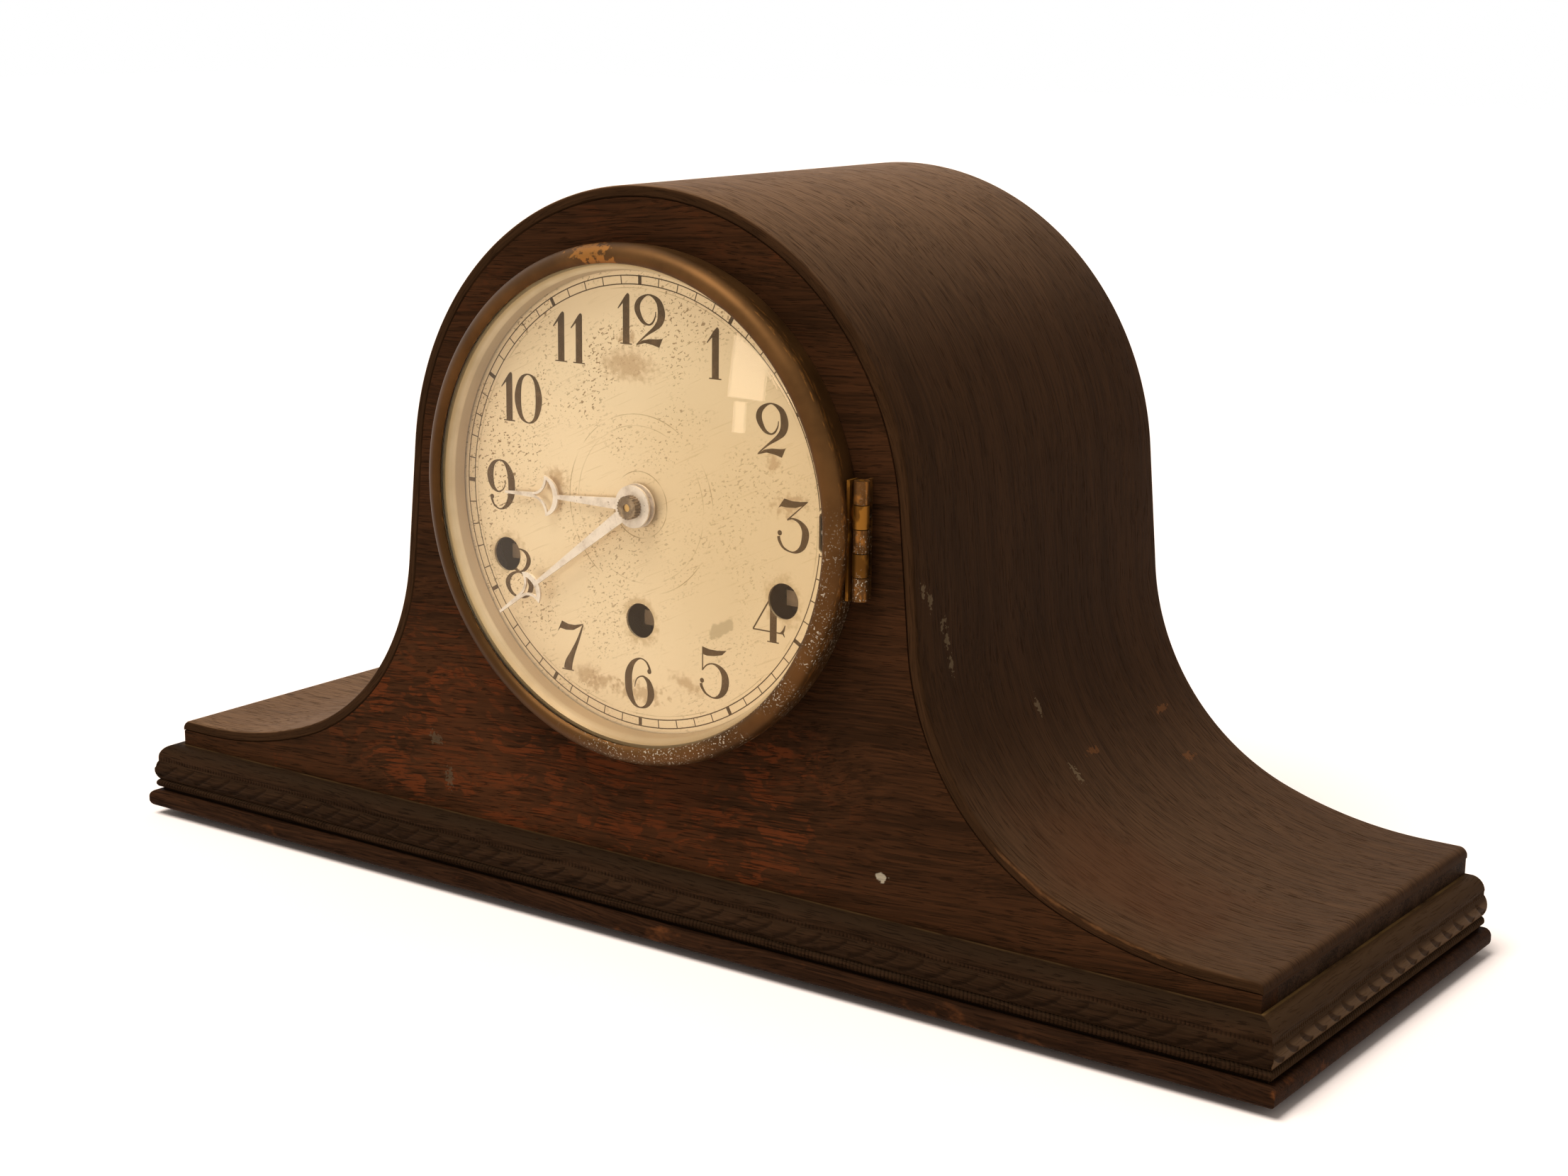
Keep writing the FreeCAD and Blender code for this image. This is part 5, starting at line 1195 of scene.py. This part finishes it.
# Sight ring
# A second ring of silvered sheet inside the bezel, which presses the glass to its seat and
# slopes back to the dial. Its silvering has yellowed, and painted shade darkens its inner slope and its
# bottom.
sight_low, sight_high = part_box("sight_ring")
glass_low, glass_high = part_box("glass")
glass_radius = (glass_high.x - glass_low.x) / 2
glass_back = glass_high.y
sight_outer = (sight_high.x - sight_low.x) / 2
sight_back = sight_high.y
sight_sheet = 0.5 * mm
skirt_radius = 70.4 * mm
ridge_radius = 72.7 * mm
crest_radius = 71.0 * mm
crest_y = sight_back - 3.6 * mm
flange_front = front_face - 6.6 * mm
riser_radius = glass_radius - 0.4 * mm
slope_steps = 10
slope_middle = ((ridge_radius + crest_radius) / 2 - 0.2 * mm, (glass_back + crest_y) / 2)
sight_profile = [(sight_outer, flange_front), (glass_radius, flange_front), (riser_radius, glass_back),
                 (ridge_radius, glass_back)]
sight_profile += arc_through(sight_profile[-1], slope_middle, (crest_radius, crest_y), slope_steps)
sight_profile += [(skirt_radius, sight_back), (skirt_radius + sight_sheet, sight_back),
                  (crest_radius + sight_sheet, crest_y),
                  (ridge_radius + sight_sheet, glass_back + 2 * sight_sheet),
                  (glass_radius - sight_sheet, flange_front + sight_sheet),
                  (sight_outer, flange_front + sight_sheet)]
pale_silver, dull_silver = (0.74, 0.57, 0.35), (0.64, 0.475, 0.27)
skirt_painted_shade, rim_brown, low_painted_shade = (0.47, 0.325, 0.19), (0.5, 0.3, 0.11), (0.26, 0.165, 0.075)
sight_silver, shader, place = new_material("sight_silver")
tarnish = noise(place, 70, 4.0, 0.6)
y, z = split(place)[1:]
yellowed_and_shaded = mixed(ramp(tarnish, 0.35, 0.7), pale_silver, dull_silver)
# The steep slope behind the crest is laid darker: painted shade.
yellowed_and_shaded = laid(yellowed_and_shaded, skirt_painted_shade, ramp(y, crest_y - 0.3 * mm, crest_y + 0.3 * mm), 0.8)
# Browner at the front rim, next to the bezel.
yellowed_and_shaded = laid(yellowed_and_shaded, rim_brown, ramp(y, glass_back + 1.6 * mm, glass_back), 0.6)
# Darker towards the bottom: painted shade on the slope that faces up into the lamp.
yellowed_and_shaded = laid(yellowed_and_shaded, low_painted_shade, ramp(z, dial_z - 30 * mm, dial_z - 68 * mm), 0.75)
coat(shader, yellowed_and_shaded, plus(times(tarnish, 0.2), 0.36), metallic=0.2, shine=0.2)
piece("sight_ring_silvered", turned("sight_ring_silvered", sight_profile), sight_silver, "bezel",
      "sight_metal", "sight_ring")

# Glass
# A convex disc of clear glass with a flat rim. It lies in the bezel's seat, and the sight ring
# behind it holds it there.
rim_y = seat_y
dome_radius = glass_radius - 1.6 * mm
dome_sag = rim_y - glass_low.y
dome_sphere = (dome_radius ** 2 + dome_sag ** 2) / (2 * dome_sag)
glass_index = 1.3
glass_tint = (1.0, 0.98, 0.93)
mirror_tint = (1.0, 0.78, 0.54)
passing_light = (0.98, 0.98, 0.97)


def dome(base_y, steps=24):
    """Profile of a shallow dome from its middle to its rim."""
    points = []
    for k in range(steps + 1):
        radius = dome_radius * k / steps
        rise = math.sqrt(dome_sphere ** 2 - radius ** 2) - (dome_sphere - dome_sag)
        points.append((radius, base_y - rise))
    return points


glass_profile = dome(rim_y) + [(glass_radius, rim_y), (glass_radius, glass_back)]
glass_profile += reversed(dome(glass_back))
clear, shader, place = new_material("clear_glass")
coat(shader, glass_tint, times(noise(place, 30, 3.0), 0.02))
shader.inputs["Transmission Weight"].default_value = 1.0
shader.inputs["IOR"].default_value = glass_index
feed(mirror_tint, shader.inputs["Specular Tint"])
tree = clear.node_tree
path = add_node(tree, "ShaderNodeLightPath").outputs
lit_through = most(path["Is Shadow Ray"], path["Is Diffuse Ray"])
open_way = add_node(tree, "ShaderNodeBsdfTransparent", {"Color": passing_light})
glazing = add_node(tree, "ShaderNodeMixShader", {0: lit_through, 1: shader.outputs[0], 2: open_way.outputs[0]})
feed(glazing.outputs[0], tree.nodes["Material Output"].inputs["Surface"])
piece("glass_convex", turned("glass_convex", glass_profile), clear, "bezel", "clear_glass", "glass")

# Hands and nut
# Steel hands with open crescents, pressed from sheet, once bright and now dull with specks of
# rust. A knurled bronze nut holds them on.
bright_steel, dull_steel, rust_brown = (0.78, 0.66, 0.53), (0.55, 0.43, 0.32), (0.2, 0.09, 0.03)
steel, shader, place = new_material("hand_steel")
dull = noise(place, 200, 4.0, 0.65)
rust = ramp(noise(place, 900, 3.0), 0.66, 0.72)
bare_steel = mixed(ramp(dull, 0.4, 0.75), bright_steel, dull_steel)
coat(shader, laid(bare_steel, rust_brown, rust, 0.7), plus(times(dull, 0.25), 0.28), metallic=0.35)
dress(steel, "hour_hand", "minute_hand")
grimy_bronze, clean_bronze = (0.14, 0.095, 0.055), (0.31, 0.22, 0.13)
bronze, shader, place = new_material("nut_bronze")
grime = noise(place, 400, 3.0)
worn_bronze = mixed(ramp(grime, 0.4, 0.65), grimy_bronze, clean_bronze)
coat(shader, worn_bronze, plus(times(grime, 0.3), 0.3), metallic=0.7)
dress(bronze, "hand_nut")

# Movement
# Brass plates, wheels and hammers, with winders, screws, pendulum rod and chime rods of steel. It
# sits between the dial and the rear door, and its three winding squares are brown.
subparts = {entry["node"]: entry["material_slot"] for entry in frame["record"]["subparts"]}


def in_slots(*slots):
    """Names of the CAD nodes whose material slot is one of these."""
    return [name for name, slot in subparts.items() if slot in slots]


def mottled(name, per_metre, first, second, rough, metallic=1.0, rough_spread=0.0):
    """Metal of two mingled tones."""
    made, shader, place = new_material(name)
    cloud = noise(place, per_metre, 4.0, 0.6)
    dullness = plus(times(cloud, rough_spread), rough) if rough_spread else rough
    coat(shader, mixed(cloud, first, second), dullness, metallic)
    return made


works = mottled("movement_brass", 90, (0.62, 0.42, 0.16), (0.42, 0.26, 0.09), 0.34)
dark_steel = mottled("movement_steel", 120, (0.24, 0.215, 0.185), (0.13, 0.112, 0.094), 0.36)
brown_steel = mottled("winder_steel", 300, (0.26, 0.17, 0.09), (0.15, 0.095, 0.05), 0.4, 0.6, 0.2)
dress(works, *in_slots("movement_brass"))
dress(dark_steel, *in_slots("movement_steel", "rod_iron"))
dress(brown_steel, "going_winder", "strike_winder", "chime_winder")

# Rear door
# A board door that closes the back. Seen from the front, it hangs on two brass butts at the left,
# and a brass turn button at the right holds it shut. Its grain stands upright.
door_oak = oak("door_oak", dark=(0.02, 0.01, 0.005), light=(0.065, 0.032, 0.017),
               pore=(0.008, 0.004, 0.002), bare=(0.1, 0.05, 0.02), turn=math.pi / 2)
door_brass = brass_finish("door_brass", (0.13, 0.064, 0.018), (0.24, 0.122, 0.033),
                          hinge_bare, hinge_pits, 0.36)
dress(door_oak, "rear_door")
dress(door_brass, *[name for name in in_slots("hinge_brass") if name.startswith("door")])
